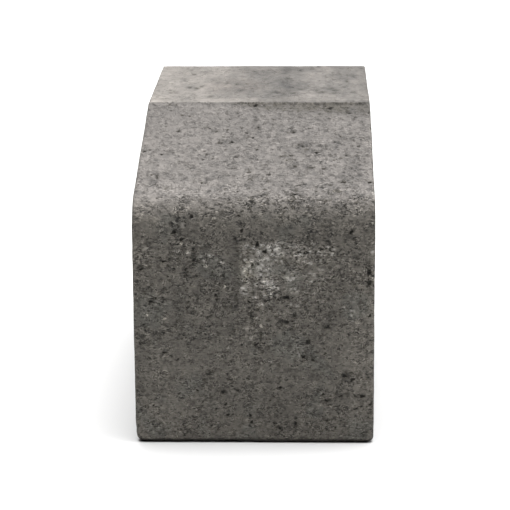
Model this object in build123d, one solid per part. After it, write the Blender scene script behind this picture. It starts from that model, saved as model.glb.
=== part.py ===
from build123d import *
import os
from math import atan2, pi, tan

# Bullnose kerb sett: a small precast kerb block, pressed in one piece from
# dry concrete. It stands on its bed as it is laid for a low kerb: upright
# front face, rounded nose, sloping front half of the top, level rear half.
#
# Millimetres, +Z up. The origin is the centre of the bed (the underside).
# +X runs along the kerb line, -Y is the road side, +Y the footway side.

# ---- driving dimensions -------------------------------------------------
KERB_RUN = 100.0        # length of one block along the kerb line (X)
DEPTH = 200.0           # front face to rear face (Y)
HEIGHT = 127.0          # bed to level top (Z)

SPLAY_RUN = 100.0       # depth of the sloping part of the top, from the front face
SPLAY_RISE = 25.0       # rise of the slope over that depth (14 degrees)
BULLNOSE_RADIUS = 16.0  # round nose between the front face and the slope

BED_ARRIS_RADIUS = 3.0  # rounded arris all round the bed, where the mix meets the mould foot
END_ARRIS_RADIUS = 1.0  # eased arris round both end faces and along the rear top edge

# ---- derived ------------------------------------------------------------
Y_FRONT = -DEPTH / 2.0
Y_REAR = DEPTH / 2.0
Y_BREAK = Y_FRONT + SPLAY_RUN       # line where the slope meets the level top
Z_NOSE = HEIGHT - SPLAY_RISE        # height of the corner that the bullnose rounds off
X_END = KERB_RUN / 2.0

TOL = 1e-6


def block_profile():
    """Cross-section across the kerb line, in the YZ plane."""
    outline = [
        (Y_FRONT, 0.0),
        (Y_REAR, 0.0),
        (Y_REAR, HEIGHT),
        (Y_BREAK, HEIGHT),
        (Y_FRONT, Z_NOSE),
    ]
    with BuildSketch(Plane.YZ) as section:
        with BuildLine():
            Polyline(*outline, close=True)
        make_face()
        # here the sketch's own x is the block's Y, and its y is the block's Z
        nose = min(
            section.vertices(),
            key=lambda v: abs(v.X - Y_FRONT) + abs(v.Y - Z_NOSE),
        )
        fillet(nose, BULLNOSE_RADIUS)
    return section.sketch


def edge_lies_on_end(edge):
    box = edge.bounding_box()
    flat = abs(box.max.X - box.min.X) < TOL
    return flat and abs(abs(box.min.X) - X_END) < TOL


def edge_lies_on_bed(edge):
    box = edge.bounding_box()
    return abs(box.max.Z) < TOL and abs(box.min.Z) < TOL


def edge_is_rear_top(edge):
    c = edge.center()
    return abs(c.Y - Y_REAR) < TOL and abs(c.Z - HEIGHT) < TOL


def kerb_block():
    block = extrude(block_profile(), amount=X_END, both=True)

    # the bed arris first, all four sides, mitred at the corners
    block = fillet(block.edges().filter_by(edge_lies_on_bed), BED_ARRIS_RADIUS)

    # then both end outlines, down into the bed corners, and the rear top edge
    eased = block.edges().filter_by(
        lambda e: edge_lies_on_end(e) or edge_is_rear_top(e)
    )
    return fillet(eased, END_ARRIS_RADIUS)


# the section's area by hand: the full oblong, less the wedge above the slope,
# less what the nose radius takes off its corner
turn = pi / 2 - atan2(SPLAY_RISE, SPLAY_RUN)
section_area = (
    DEPTH * HEIGHT
    - SPLAY_RUN * SPLAY_RISE / 2
    - BULLNOSE_RADIUS**2 * (tan(turn / 2) - turn / 2)
)
assert abs(block_profile().area - section_area) < 0.01

bullnose_kerb_sett = kerb_block().solids()[0]
bullnose_kerb_sett.label = "bullnose_kerb_sett"
assert bullnose_kerb_sett.is_valid

volume_l = bullnose_kerb_sett.volume / 1e6
size = bullnose_kerb_sett.bounding_box().size
print(f"bullnose_kerb_sett: {size.X:.2f} x {size.Y:.2f} x {size.Z:.2f} mm, {volume_l:.4f} litres")

os.makedirs("parts", exist_ok=True)
export_step(bullnose_kerb_sett, "parts/bullnose_kerb_sett.step")
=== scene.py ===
import bpy
import math
import numpy as np
from mathutils import Matrix, Vector
from mathutils.geometry import delaunay_2d_cdt


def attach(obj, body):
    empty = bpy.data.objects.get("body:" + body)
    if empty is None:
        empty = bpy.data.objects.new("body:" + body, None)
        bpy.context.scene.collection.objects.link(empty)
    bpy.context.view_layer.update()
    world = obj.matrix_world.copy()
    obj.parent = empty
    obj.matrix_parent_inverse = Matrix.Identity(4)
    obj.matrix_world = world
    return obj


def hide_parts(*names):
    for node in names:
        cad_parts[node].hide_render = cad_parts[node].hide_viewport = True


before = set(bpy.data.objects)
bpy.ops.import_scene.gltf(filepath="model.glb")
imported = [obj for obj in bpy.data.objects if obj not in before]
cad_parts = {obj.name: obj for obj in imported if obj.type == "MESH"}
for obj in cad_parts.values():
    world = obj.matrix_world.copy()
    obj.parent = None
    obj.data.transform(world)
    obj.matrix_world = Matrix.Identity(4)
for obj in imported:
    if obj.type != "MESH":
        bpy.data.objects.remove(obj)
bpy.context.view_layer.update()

# ---------------------------------------------------------------------------
# The kerb block, in millimetres in the row frame until its mesh is made.
# +X along the kerb line, -Y front face, +Z up, origin under the bed's centre.
# ---------------------------------------------------------------------------
XE = 50.0                                      # half the run along the kerb line
YF, YR = -100.0, 100.0
H = 127.0
RISE = 25.0
RN = 16.0                                      # nose radius
SLOPE = math.atan2(RISE, 100.0)
TURN = math.pi / 2 - SLOPE
ZN = (H - RISE) - RN * math.tan(TURN / 2)      # where the front face meets the nose
CY, CZ = YF + RN, ZN                           # nose centre
NY, NZ = CY - RN * math.sin(SLOPE), CZ + RN * math.cos(SLOPE)   # where the nose meets the slope
L_SLOPE = math.hypot(NY, NZ - H)
V = np.cumsum([0.0, ZN, RN * TURN, L_SLOPE, 100.0, H, 200.0])   # outline, unrolled from the bed's front corner
# the mould drags the grain out a little along the slope and the level top
W = np.concatenate([[0.0], np.cumsum(np.diff(V) * (1.0, 1.0, 0.62, 0.70, 1.0, 1.0))])


# ---- seeded noise, for shape only -----------------------------------------
def noise3(P, size, seed):
    """Gradient noise, about -1 to 1, with features of that size in mm."""
    r = np.random.default_rng(seed)
    perm = r.permutation(256)
    perm = np.concatenate([perm, perm])
    grad = r.normal(size=(512, 3))
    grad /= np.linalg.norm(grad, axis=1)[:, None]
    q = np.asarray(P, float) / size + 37.31
    i = np.floor(q).astype(int)
    f = q - i
    u = f * f * f * (f * (f * 6 - 15) + 10)
    i &= 255
    out = 0
    for dx in (0, 1):
        wx = u[:, 0] if dx else 1 - u[:, 0]
        for dy in (0, 1):
            wy = u[:, 1] if dy else 1 - u[:, 1]
            for dz in (0, 1):
                wz = u[:, 2] if dz else 1 - u[:, 2]
                a = perm[(i[:, 0] + dx) & 255]
                b = perm[(a + i[:, 1] + dy) & 255]
                c = perm[(b + i[:, 2] + dz) & 255]
                out = out + wx * wy * wz * (grad[c] * (f - np.array([dx, dy, dz]))).sum(1)
    return out * 1.6


def smooth(a, b, x):
    t = np.clip((x - a) / (b - a), 0, 1)
    return t * t * (3 - 2 * t)


# ---- the sharp block -------------------------------------------------------
def section(v):
    """Distance along the outline -> (y, z)."""
    v = np.asarray(v, float)
    a = (v - V[1]) / RN
    t = (v - V[2]) / L_SLOPE
    y = np.select([v <= V[1], v <= V[2], v <= V[3], v <= V[4], v <= V[5]],
                  [YF + 0 * v, CY - RN * np.cos(a), NY * (1 - t), v - V[3], YR + 0 * v], YR - (v - V[5]))
    z = np.select([v <= V[1], v <= V[2], v <= V[3], v <= V[4], v <= V[5]],
                  [v, CZ + RN * np.sin(a), NZ * (1 - t) + H * t, H + 0 * v, H - (v - V[4])], 0 * v)
    return y, z


def on_strip(x, y, z):
    """A point on front, nose, slope or level top -> (x, distance along the outline)."""
    if z < ZN and y < YF + 0.5:
        return x, z
    if y < NY:
        return x, V[1] + RN * math.atan2(z - CZ, CY - y)
    if y < 0:
        return x, V[2] + math.hypot(y - NY, z - NZ)
    return x, V[3] + y


def under_top(y, z):
    """Depth below the front, nose, slope and level top taken together, and the outward normal."""
    n_slope = (-math.sin(SLOPE), math.cos(SLOPE))
    d = y - YF
    n = np.stack([-np.ones_like(y), np.zeros_like(y)], 1)
    ds = -y * n_slope[0] + (H - z) * n_slope[1]
    m = ds < d
    d = np.where(m, ds, d)
    n[m] = n_slope
    m = H - z < d
    d = np.where(m, H - z, d)
    n[m] = (0.0, 1.0)
    wy, wz = y - CY, z - CZ
    r = np.hypot(wy, wz)
    ang = np.arctan2(wz, -wy)                  # 0 on the front face, TURN on the slope
    m = (ang >= 0) & (ang <= TURN) & (r > 1e-9)
    d = np.where(m, RN - r, d)
    n[m] = np.stack([wy[m] / r[m], wz[m] / r[m]], 1)
    return d, n


def arris_radius(P):
    """Worn end arrises, rounder ones round the bed, and uneven along their length."""
    low = 1 - smooth(4.5, 11.0, P[:, 2])
    r = 0.90 + (2.35 - 0.30 * np.sign(P[:, 0])) * low + 0.34 * noise3(P, 9.0, 11) + 0.26 * noise3(P, 3.1, 12)
    return np.clip(r, 0.4, 3.8)


def rounded(P):
    """Points on the sharp block -> points on the block with its arrises rounded, and unit normals."""
    r = arris_radius(P)
    q = P.copy()
    q[:, 0] = np.clip(P[:, 0], -XE + r, XE - r)
    d, n = under_top(P[:, 1], P[:, 2])
    push = np.clip(r - d, 0, None)
    q[:, 1] -= n[:, 0] * push
    q[:, 2] -= n[:, 1] * push
    q[:, 1] = np.minimum(q[:, 1], YR - r)
    q[:, 2] = np.maximum(q[:, 2], r)
    n3 = P - q
    n3 /= np.linalg.norm(n3, axis=1)[:, None]
    return q + n3 * r[:, None], n3


# ---- pits: open pores of a dry-pressed face, as real hollows in the mesh ----
class Pits:
    """Each is (u, v, radius, depth, stretch, angle, phase) in a face's flat coordinates."""

    def __init__(self):
        self.all = []
        self.cells = {}

    def clear(self, u, v, r, gap):
        cx, cy = int(u // 4), int(v // 4)
        for ax in (cx - 1, cx, cx + 1):
            for ay in (cy - 1, cy, cy + 1):
                for q in self.cells.get((ax, ay), ()):
                    if math.hypot(u - q[0], v - q[1]) < (r + q[2]) * gap:
                        return False
        return True

    def put(self, u, v, r, depth, stretch=1.2, angle=0.0, phase=0.0):
        p = (u, v, r, depth, stretch, angle, phase)
        self.all.append(p)
        self.cells.setdefault((int(u // 4), int(v // 4)), []).append(p)

    def scatter(self, rng, count, where, share):
        tries = 0
        goal = len(self.all) + count
        while len(self.all) < goal and tries < count * 80:
            tries += 1
            place = where(rng)
            r = float(np.clip(0.30 + rng.exponential(0.13), 0.30, 0.95))
            if place is None or rng.random() > share(*place) or not self.clear(*place, r, 1.5):
                continue
            self.put(*place, r, r * rng.uniform(0.6, 1.1), rng.uniform(1.2, 2.3), rng.normal(0.0, 0.6), rng.uniform(0, 6.28))

    def rings(self):
        out = []
        for u, v, r, depth, stretch, ang, ph in self.all:
            c, s = math.cos(ang), math.sin(ang)
            rings = ((0.0, 1), (0.5, 6), (0.9, 9), (1.25, 10)) if r > 0.5 else ((0.0, 1), (0.65, 6), (1.2, 8))
            for k, (t, n) in enumerate(rings):
                for j in range(n):
                    a = 2 * math.pi * (j + 0.5 * (k % 2)) / n + ph
                    x, y = r * t * math.cos(a) * stretch ** 0.5, r * t * math.sin(a) / stretch ** 0.5
                    out.append((u + c * x - s * y, v + s * x + c * y))
        return np.array(out).reshape(-1, 2)

    @staticmethod
    def rho(pts, pit, lobes):
        u, v, r, depth, stretch, ang, ph = pit
        c, s = math.cos(ang), math.sin(ang)
        dx, dy = pts[:, 0] - u, pts[:, 1] - v
        x = (c * dx + s * dy) / (r * stretch ** 0.5)
        y = (-s * dx + c * dy) / (r / stretch ** 0.5)
        rho = np.hypot(x, y)
        if lobes:
            a = np.arctan2(y, x)
            rho = rho / (1 + 0.23 * np.sin(2 * a + 1.3 * ph) * (stretch < 1.5) + 0.22 * np.sin(3 * a + ph) + 0.13 * np.sin(5 * a + 2.1 * ph))
        return rho

    def near(self, pts, pit, reach):
        return np.where((np.abs(pts[:, 0] - pit[0]) < reach) & (np.abs(pts[:, 1] - pit[1]) < reach))[0]

    def make_way(self, pts):
        """Leaves out the plain grid's points where a pit has its own."""
        keep = np.ones(len(pts), bool)
        for p in self.all:
            k = self.near(pts, p, 1.55 * p[2] * p[4] ** 0.5 + 0.2)
            keep[k[self.rho(pts[k], p, False) < 1.42 + 0.14 / p[2]]] = False
        return pts[keep]

    def depth(self, pts):
        d = np.zeros(len(pts))
        for p in self.all:
            k = self.near(pts, p, 1.6 * p[2] * p[4] ** 0.5)
            here = p[3] * (1 - smooth(0.3, 1.12, self.rho(pts[k], p, True)))
            d[k] = np.where(np.abs(here) > np.abs(d[k]), here, d[k])
        return d


def thin(points, kept, least):
    """Leaves out points nearer than least to one already there."""
    cell, out = {}, []

    def near(p):
        cx, cy = math.floor(p[0]), math.floor(p[1])
        return any((p[0] - q[0]) ** 2 + (p[1] - q[1]) ** 2 < least * least
                   for ax in (cx - 1, cx, cx + 1) for ay in (cy - 1, cy, cy + 1) for q in cell.get((ax, ay), ()))

    for p in kept:
        cell.setdefault((math.floor(p[0]), math.floor(p[1])), []).append(p)
    for p in points:
        p = (float(p[0]), float(p[1]))
        if not near(p):
            cell.setdefault((math.floor(p[0]), math.floor(p[1])), []).append(p)
            out.append(p)
    return np.array(out)


def triangulate(loop, folds, inner):
    """A closed loop, rows of points on fold lines, and inner points -> vertices and triangles."""
    given = [tuple(p) for p in loop]
    index = {(round(p[0], 6), round(p[1], 6)): k for k, p in enumerate(given)}
    edges = [(k, (k + 1) % len(given)) for k in range(len(given))]
    for row in folds:
        ids = []
        for p in row:
            key = (round(p[0], 6), round(p[1], 6))
            if key not in index:
                index[key] = len(given)
                given.append(tuple(p))
            ids.append(index[key])
        edges += list(zip(ids[:-1], ids[1:]))
    given = np.concatenate([np.array(given, float), inner])
    vv, _, ff, src, _, _ = delaunay_2d_cdt([Vector(p) for p in given], edges, [], 1, 1e-5)
    out = np.array([given[min(k)] if k else tuple(v) for v, k in zip(vv, src)])
    return out, np.array([f for f in ff if len(f) == 3])


# ---- the mesh: one closed skin, triangles small where the shape is fine ----
GRADE = (0.34, 0.80, 1.40, 2.15)               # distances from an arris that get rows of their own
FOLDS = (V[3], V[4], V[5])
STEP = {0: 1.07, 3: 1.07, 4: 1.85, 5: 2.6}     # grid of front-nose-slope, level top, rear, bed


def outline_stops():
    out = []
    for a, b, s in ((0.0, V[3], 0.58), (V[3], V[4], 0.66), (V[4], V[5], 0.95), (V[5], V[6], 1.4)):
        out += list(np.linspace(a, b, round((b - a) / s) + 1)[:-1])
    return np.array(out)


def across(step):
    lo, hi = -XE + GRADE[-1], XE - GRADE[-1]
    return np.linspace(lo, hi, round((hi - lo) / step) + 1)


def fold_row(v, step):
    xs = [-XE] + [-XE + g for g in GRADE[:-1]] + list(across(step)) + [XE - g for g in reversed(GRADE[:-1])] + [XE]
    return [(x, v) for x in xs]


def zone(P):
    """0 where the mix is close and smooth, 1 where it is open."""
    return smooth(-0.2, 0.5, noise3(P, 15.0, 31) + 0.5 * noise3(P, 6.0, 32))


# the conspicuous pits of the front face and nose: x, z, radius, depth, stretch, angle
FRONT_PITS = [
    (-25.4, 97.4, 1.00, 0.9, 1.5, 1.2), (-28.0, 95.2, 0.55, 0.5, 1.4, 2.3), (-32.8, 91.2, 1.00, 1.0, 1.6, 0.7), (-29.5, 88.3, 0.95, 0.9, 1.7, 0.4),
    (-4.8, 91.9, 0.85, 0.9, 1.2, 0.8), (-7.6, 88.6, 0.60, 0.6, 1.4, 0.4), (-9.2, 91.5, 0.42, 0.4, 1.2, 0.0), (-5.9, 97.7, 0.70, 0.5, 2.0, 2.9),
    (1.6, 86.3, 0.85, 1.1, 1.9, 1.5), (40.1, 91.4, 0.85, 0.8, 1.3, 0.9), (41.2, 88.8, 0.60, 0.6, 1.4, 1.0), (28.0, 84.0, 0.80, 0.7, 1.5, 0.3),
    (-24.9, 84.2, 0.60, 0.6, 1.5, 2.4), (-23.4, 83.0, 0.45, 0.5, 1.3, 0.2), (-24.6, 79.5, 0.70, 0.6, 1.5, 0.8), (-22.4, 78.4, 0.42, 0.4, 1.2, 0.0),
    (-37.0, 78.8, 0.80, 0.7, 1.9, 0.2), (-38.4, 80.5, 0.60, 0.5, 1.8, 0.9), (-34.6, 80.0, 0.50, 0.4, 2.0, 3.0), (-46.3, 75.6, 0.75, 0.6, 1.4, 0.9),
    (-27.9, 75.7, 0.70, 0.6, 1.4, 0.8), (-35.4, 72.4, 0.60, 0.5, 1.4, 0.3), (-17.0, 74.2, 0.55, 0.5, 1.6, 1.6), (-12.6, 73.1, 0.65, 0.5, 1.8, 0.1),
    (-15.7, 64.5, 0.75, 0.8, 1.3, 0.3), (-19.2, 62.4, 0.55, 0.6, 2.4, 3.1), (-42.7, 61.6, 0.75, 0.9, 1.1, 0.0), (-40.6, 63.2, 0.55, 0.5, 1.4, 1.0),
    (-26.9, 61.6, 0.60, 0.5, 1.6, 0.6), (-24.8, 62.2, 0.42, 0.4, 1.3, 0.5), (-10.7, 62.8, 0.50, 0.5, 1.3, 0.0), (-2.0, 61.7, 0.65, 0.7, 1.2, 0.0),
    (-2.9, 71.1, 0.62, 0.8, 1.8, 0.7), (-0.5, 77.4, 0.80, 0.8, 1.5, 1.0), (1.6, 69.1, 0.50, 0.6, 1.7, 0.5), (11.8, 85.4, 0.55, 0.6, 1.5, 1.5),
    (4.7, 83.1, 0.85, 0.8, 1.3, 2.2), (7.8, 83.5, 0.48, 0.6, 1.4, 1.5), (14.4, 84.6, 0.45, 0.5, 1.3, 0.6), (18.6, 82.8, 0.45, 0.5, 2.4, 0.0),
    (20.9, 82.6, 0.55, 0.8, 2.0, 1.4), (26.1, 83.3, 0.50, 0.6, 1.9, 0.2), (30.2, 84.6, 0.50, 0.5, 1.8, 0.2), (2.5, 71.1, 0.55, 0.6, 1.5, 0.6),
    (13.6, 63.6, 1.00, 0.9, 2.3, 2.9), (16.0, 63.4, 0.55, 0.6, 1.4, 0.5), (11.4, 64.7, 0.42, 0.5, 1.6, 2.4), (13.8, 53.0, 0.80, 0.6, 2.2, 3.0),
    (47.7, 74.5, 1.10, 1.0, 1.4, 0.4), (47.7, 69.8, 1.15, 1.0, 1.3, 1.2), (46.4, 76.4, 0.50, 0.5, 1.6, 0.9), (48.0, 55.6, 0.70, 0.7, 1.2, 0.0),
    (-30.8, 47.6, 0.55, 0.5, 1.4, 0.1), (-27.3, 47.7, 0.50, 0.5, 1.5, 0.0), (-31.7, 36.7, 0.70, 0.6, 1.3, 1.2), (-43.5, 37.2, 0.60, 0.5, 2.0, 3.0),
    (-23.8, 23.2, 0.65, 0.6, 1.6, 2.4), (-13.0, 22.5, 0.85, 0.8, 1.7, 0.3), (-7.0, 23.2, 0.70, 0.6, 2.1, 0.1), (-31.2, 21.8, 0.60, 0.5, 2.0, 0.2),
    (-12.0, 17.0, 0.75, 0.6, 1.9, 0.8), (-42.2, 16.5, 0.60, 0.5, 2.1, 1.6), (-1.2, 9.2, 0.75, 0.7, 1.3, 0.2), (-9.0, 12.6, 0.60, 0.5, 1.8, 0.1),
    (30.6, 51.0, 0.85, 0.6, 1.4, 0.9), (22.5, 44.7, 0.80, 0.8, 1.4, 1.1), (1.1, 43.4, 0.75, 0.7, 1.4, 0.5), (20.4, 37.9, 0.85, 1.0, 1.4, 2.5),
    (22.0, 36.6, 0.50, 0.6, 1.2, 0.0), (24.6, 36.5, 0.70, 0.7, 1.6, 2.6), (29.2, 41.7, 0.55, 0.5, 2.2, 3.0), (36.5, 43.0, 0.50, 0.5, 2.0, 3.1),
    (10.8, 24.4, 0.80, 0.9, 1.2, 0.2), (37.6, 29.6, 0.95, 0.8, 1.3, 1.4), (40.4, 31.1, 0.55, 0.5, 1.4, 0.7), (28.8, 21.6, 0.65, 0.7, 1.5, 0.4),
    (30.0, 18.9, 0.75, 0.6, 1.7, 2.7), (36.3, 20.8, 0.75, 0.5, 1.9, 0.6), (45.2, 20.8, 1.00, 0.9, 1.7, 0.1), (42.2, 20.9, 0.55, 0.5, 1.9, 3.0),
    (48.5, 17.2, 0.75, 0.7, 1.3, 0.0), (20.2, 16.7, 0.55, 0.5, 1.2, 0.0), (10.8, 6.5, 0.70, 0.6, 1.5, 2.8), (17.4, 8.7, 0.70, 0.6, 1.9, 1.5),
    (30.4, 10.1, 0.70, 0.5, 2.1, 0.1), (33.9, 6.8, 0.60, 0.5, 1.3, 0.6), (8.2, 8.7, 0.60, 0.5, 1.7, 2.5), (6.6, 18.9, 0.50, 0.5, 1.3, 0.0),
]

# those of the slope: x, y, radius, depth, stretch, angle
SLOPE_PITS = [
    (-1.7, -2.7, 1.25, 1.1, 1.3, 2.2), (2.3, -1.9, 0.70, 0.6, 1.6, 0.1), (-40.1, -2.4, 0.80, 0.5, 1.3, 0.2), (-37.0, -2.1, 0.60, 0.5, 1.6, 0.0),
    (-33.9, -13.7, 0.80, 0.5, 1.9, 0.5), (-40.6, -25.1, 0.70, 0.5, 1.3, 0.2), (-34.8, -29.9, 0.95, 0.6, 2.0, 3.0), (-21.0, -26.9, 0.70, 0.6, 1.2, 0.0),
    (-17.9, -29.9, 0.95, 0.7, 1.4, 1.2), (-13.2, -28.2, 0.75, 0.6, 1.2, 1.2), (-6.9, -26.2, 0.75, 0.6, 1.3, 0.2), (-18.1, -11.9, 0.80, 0.4, 1.4, 1.0),
    (-16.0, -41.3, 0.90, 0.7, 2.2, 0.1), (-10.9, -40.5, 0.95, 0.7, 2.1, 3.0), (-8.6, -55.0, 0.85, 0.6, 1.9, 0.2), (-11.2, -52.6, 0.60, 0.5, 1.6, 2.5),
    (-21.2, -52.6, 0.90, 0.7, 1.3, 2.4), (-40.6, -52.6, 0.75, 0.6, 1.2, 0.0), (-48.2, -49.5, 1.00, 0.8, 1.3, 0.2), (-8.0, -45.9, 0.60, 0.5, 1.6, 0.2),
    (-9.5, -65.8, 0.85, 0.5, 1.8, 0.1), (-2.6, -69.1, 0.95, 0.7, 1.5, 0.3), (-22.6, -57.4, 0.75, 0.5, 1.3, 0.8), (-43.6, -71.4, 0.75, 0.6, 1.5, 2.0),
    (-41.0, -74.2, 0.75, 0.6, 1.4, 1.9), (-4.7, -31.2, 0.90, 0.6, 1.3, 1.6), (-32.8, -59.0, 0.60, 0.5, 1.3, 0.3), (-29.7, -44.6, 0.60, 0.4, 1.6, 0.3),
    (-22.1, -78.7, 0.75, 0.6, 1.6, 1.2), (-1.8, -36.1, 0.85, 0.6, 1.4, 2.0), (0.2, -25.7, 1.00, 0.6, 1.5, 1.8), (31.6, -5.2, 1.10, 0.8, 1.6, 2.8),
    (29.4, -3.0, 0.70, 0.6, 1.4, 0.2), (40.5, -10.4, 1.10, 0.8, 1.6, 2.8), (43.1, -15.5, 0.85, 0.6, 1.4, 0.7), (15.7, -31.2, 0.90, 0.7, 1.6, 3.0),
    (13.2, -31.2, 0.60, 0.5, 1.5, 0.2), (20.1, -44.6, 1.00, 0.7, 1.3, 2.0), (18.2, -43.0, 0.75, 0.5, 1.5, 0.4), (26.1, -50.7, 1.00, 0.7, 2.2, 0.1),
    (38.5, -53.4, 0.95, 0.7, 1.4, 1.2), (36.4, -55.8, 0.75, 0.6, 1.9, 0.2), (14.6, -53.4, 0.80, 0.6, 1.4, 2.0), (16.8, -63.7, 1.00, 0.7, 1.4, 2.2),
    (13.2, -57.8, 0.75, 0.6, 1.4, 2.2), (11.0, -54.3, 0.70, 0.6, 1.6, 0.2), (36.3, -34.9, 0.75, 0.5, 1.9, 2.3), (43.9, -44.6, 0.75, 0.5, 1.4, 0.4),
    (28.7, -65.8, 0.90, 0.6, 1.6, 3.0), (24.5, -64.9, 0.75, 0.5, 1.5, 0.3), (37.1, -78.2, 1.20, 0.7, 2.0, 0.3), (48.2, -78.2, 1.00, 0.8, 1.2, 0.0),
    (5.9, -71.4, 0.75, 0.6, 1.8, 0.4), (0.2, -47.8, 0.80, 0.6, 1.8, 1.4), (33.9, -57.4, 0.75, 0.5, 2.0, 0.1),
]

# pale grains on the front face, standing a little proud: x, z, radius
WHITE_GRAINS = [(-37.0, 54.3, 0.62), (-44.2, 56.0, 0.50), (2.9, 51.3, 0.70), (-19.7, 76.8, 0.70), (-29.6, 86.4, 0.55), (-27.2, 82.9, 0.50),
                (-11.9, 68.0, 0.50), (14.1, 72.0, 0.60)]

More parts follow.
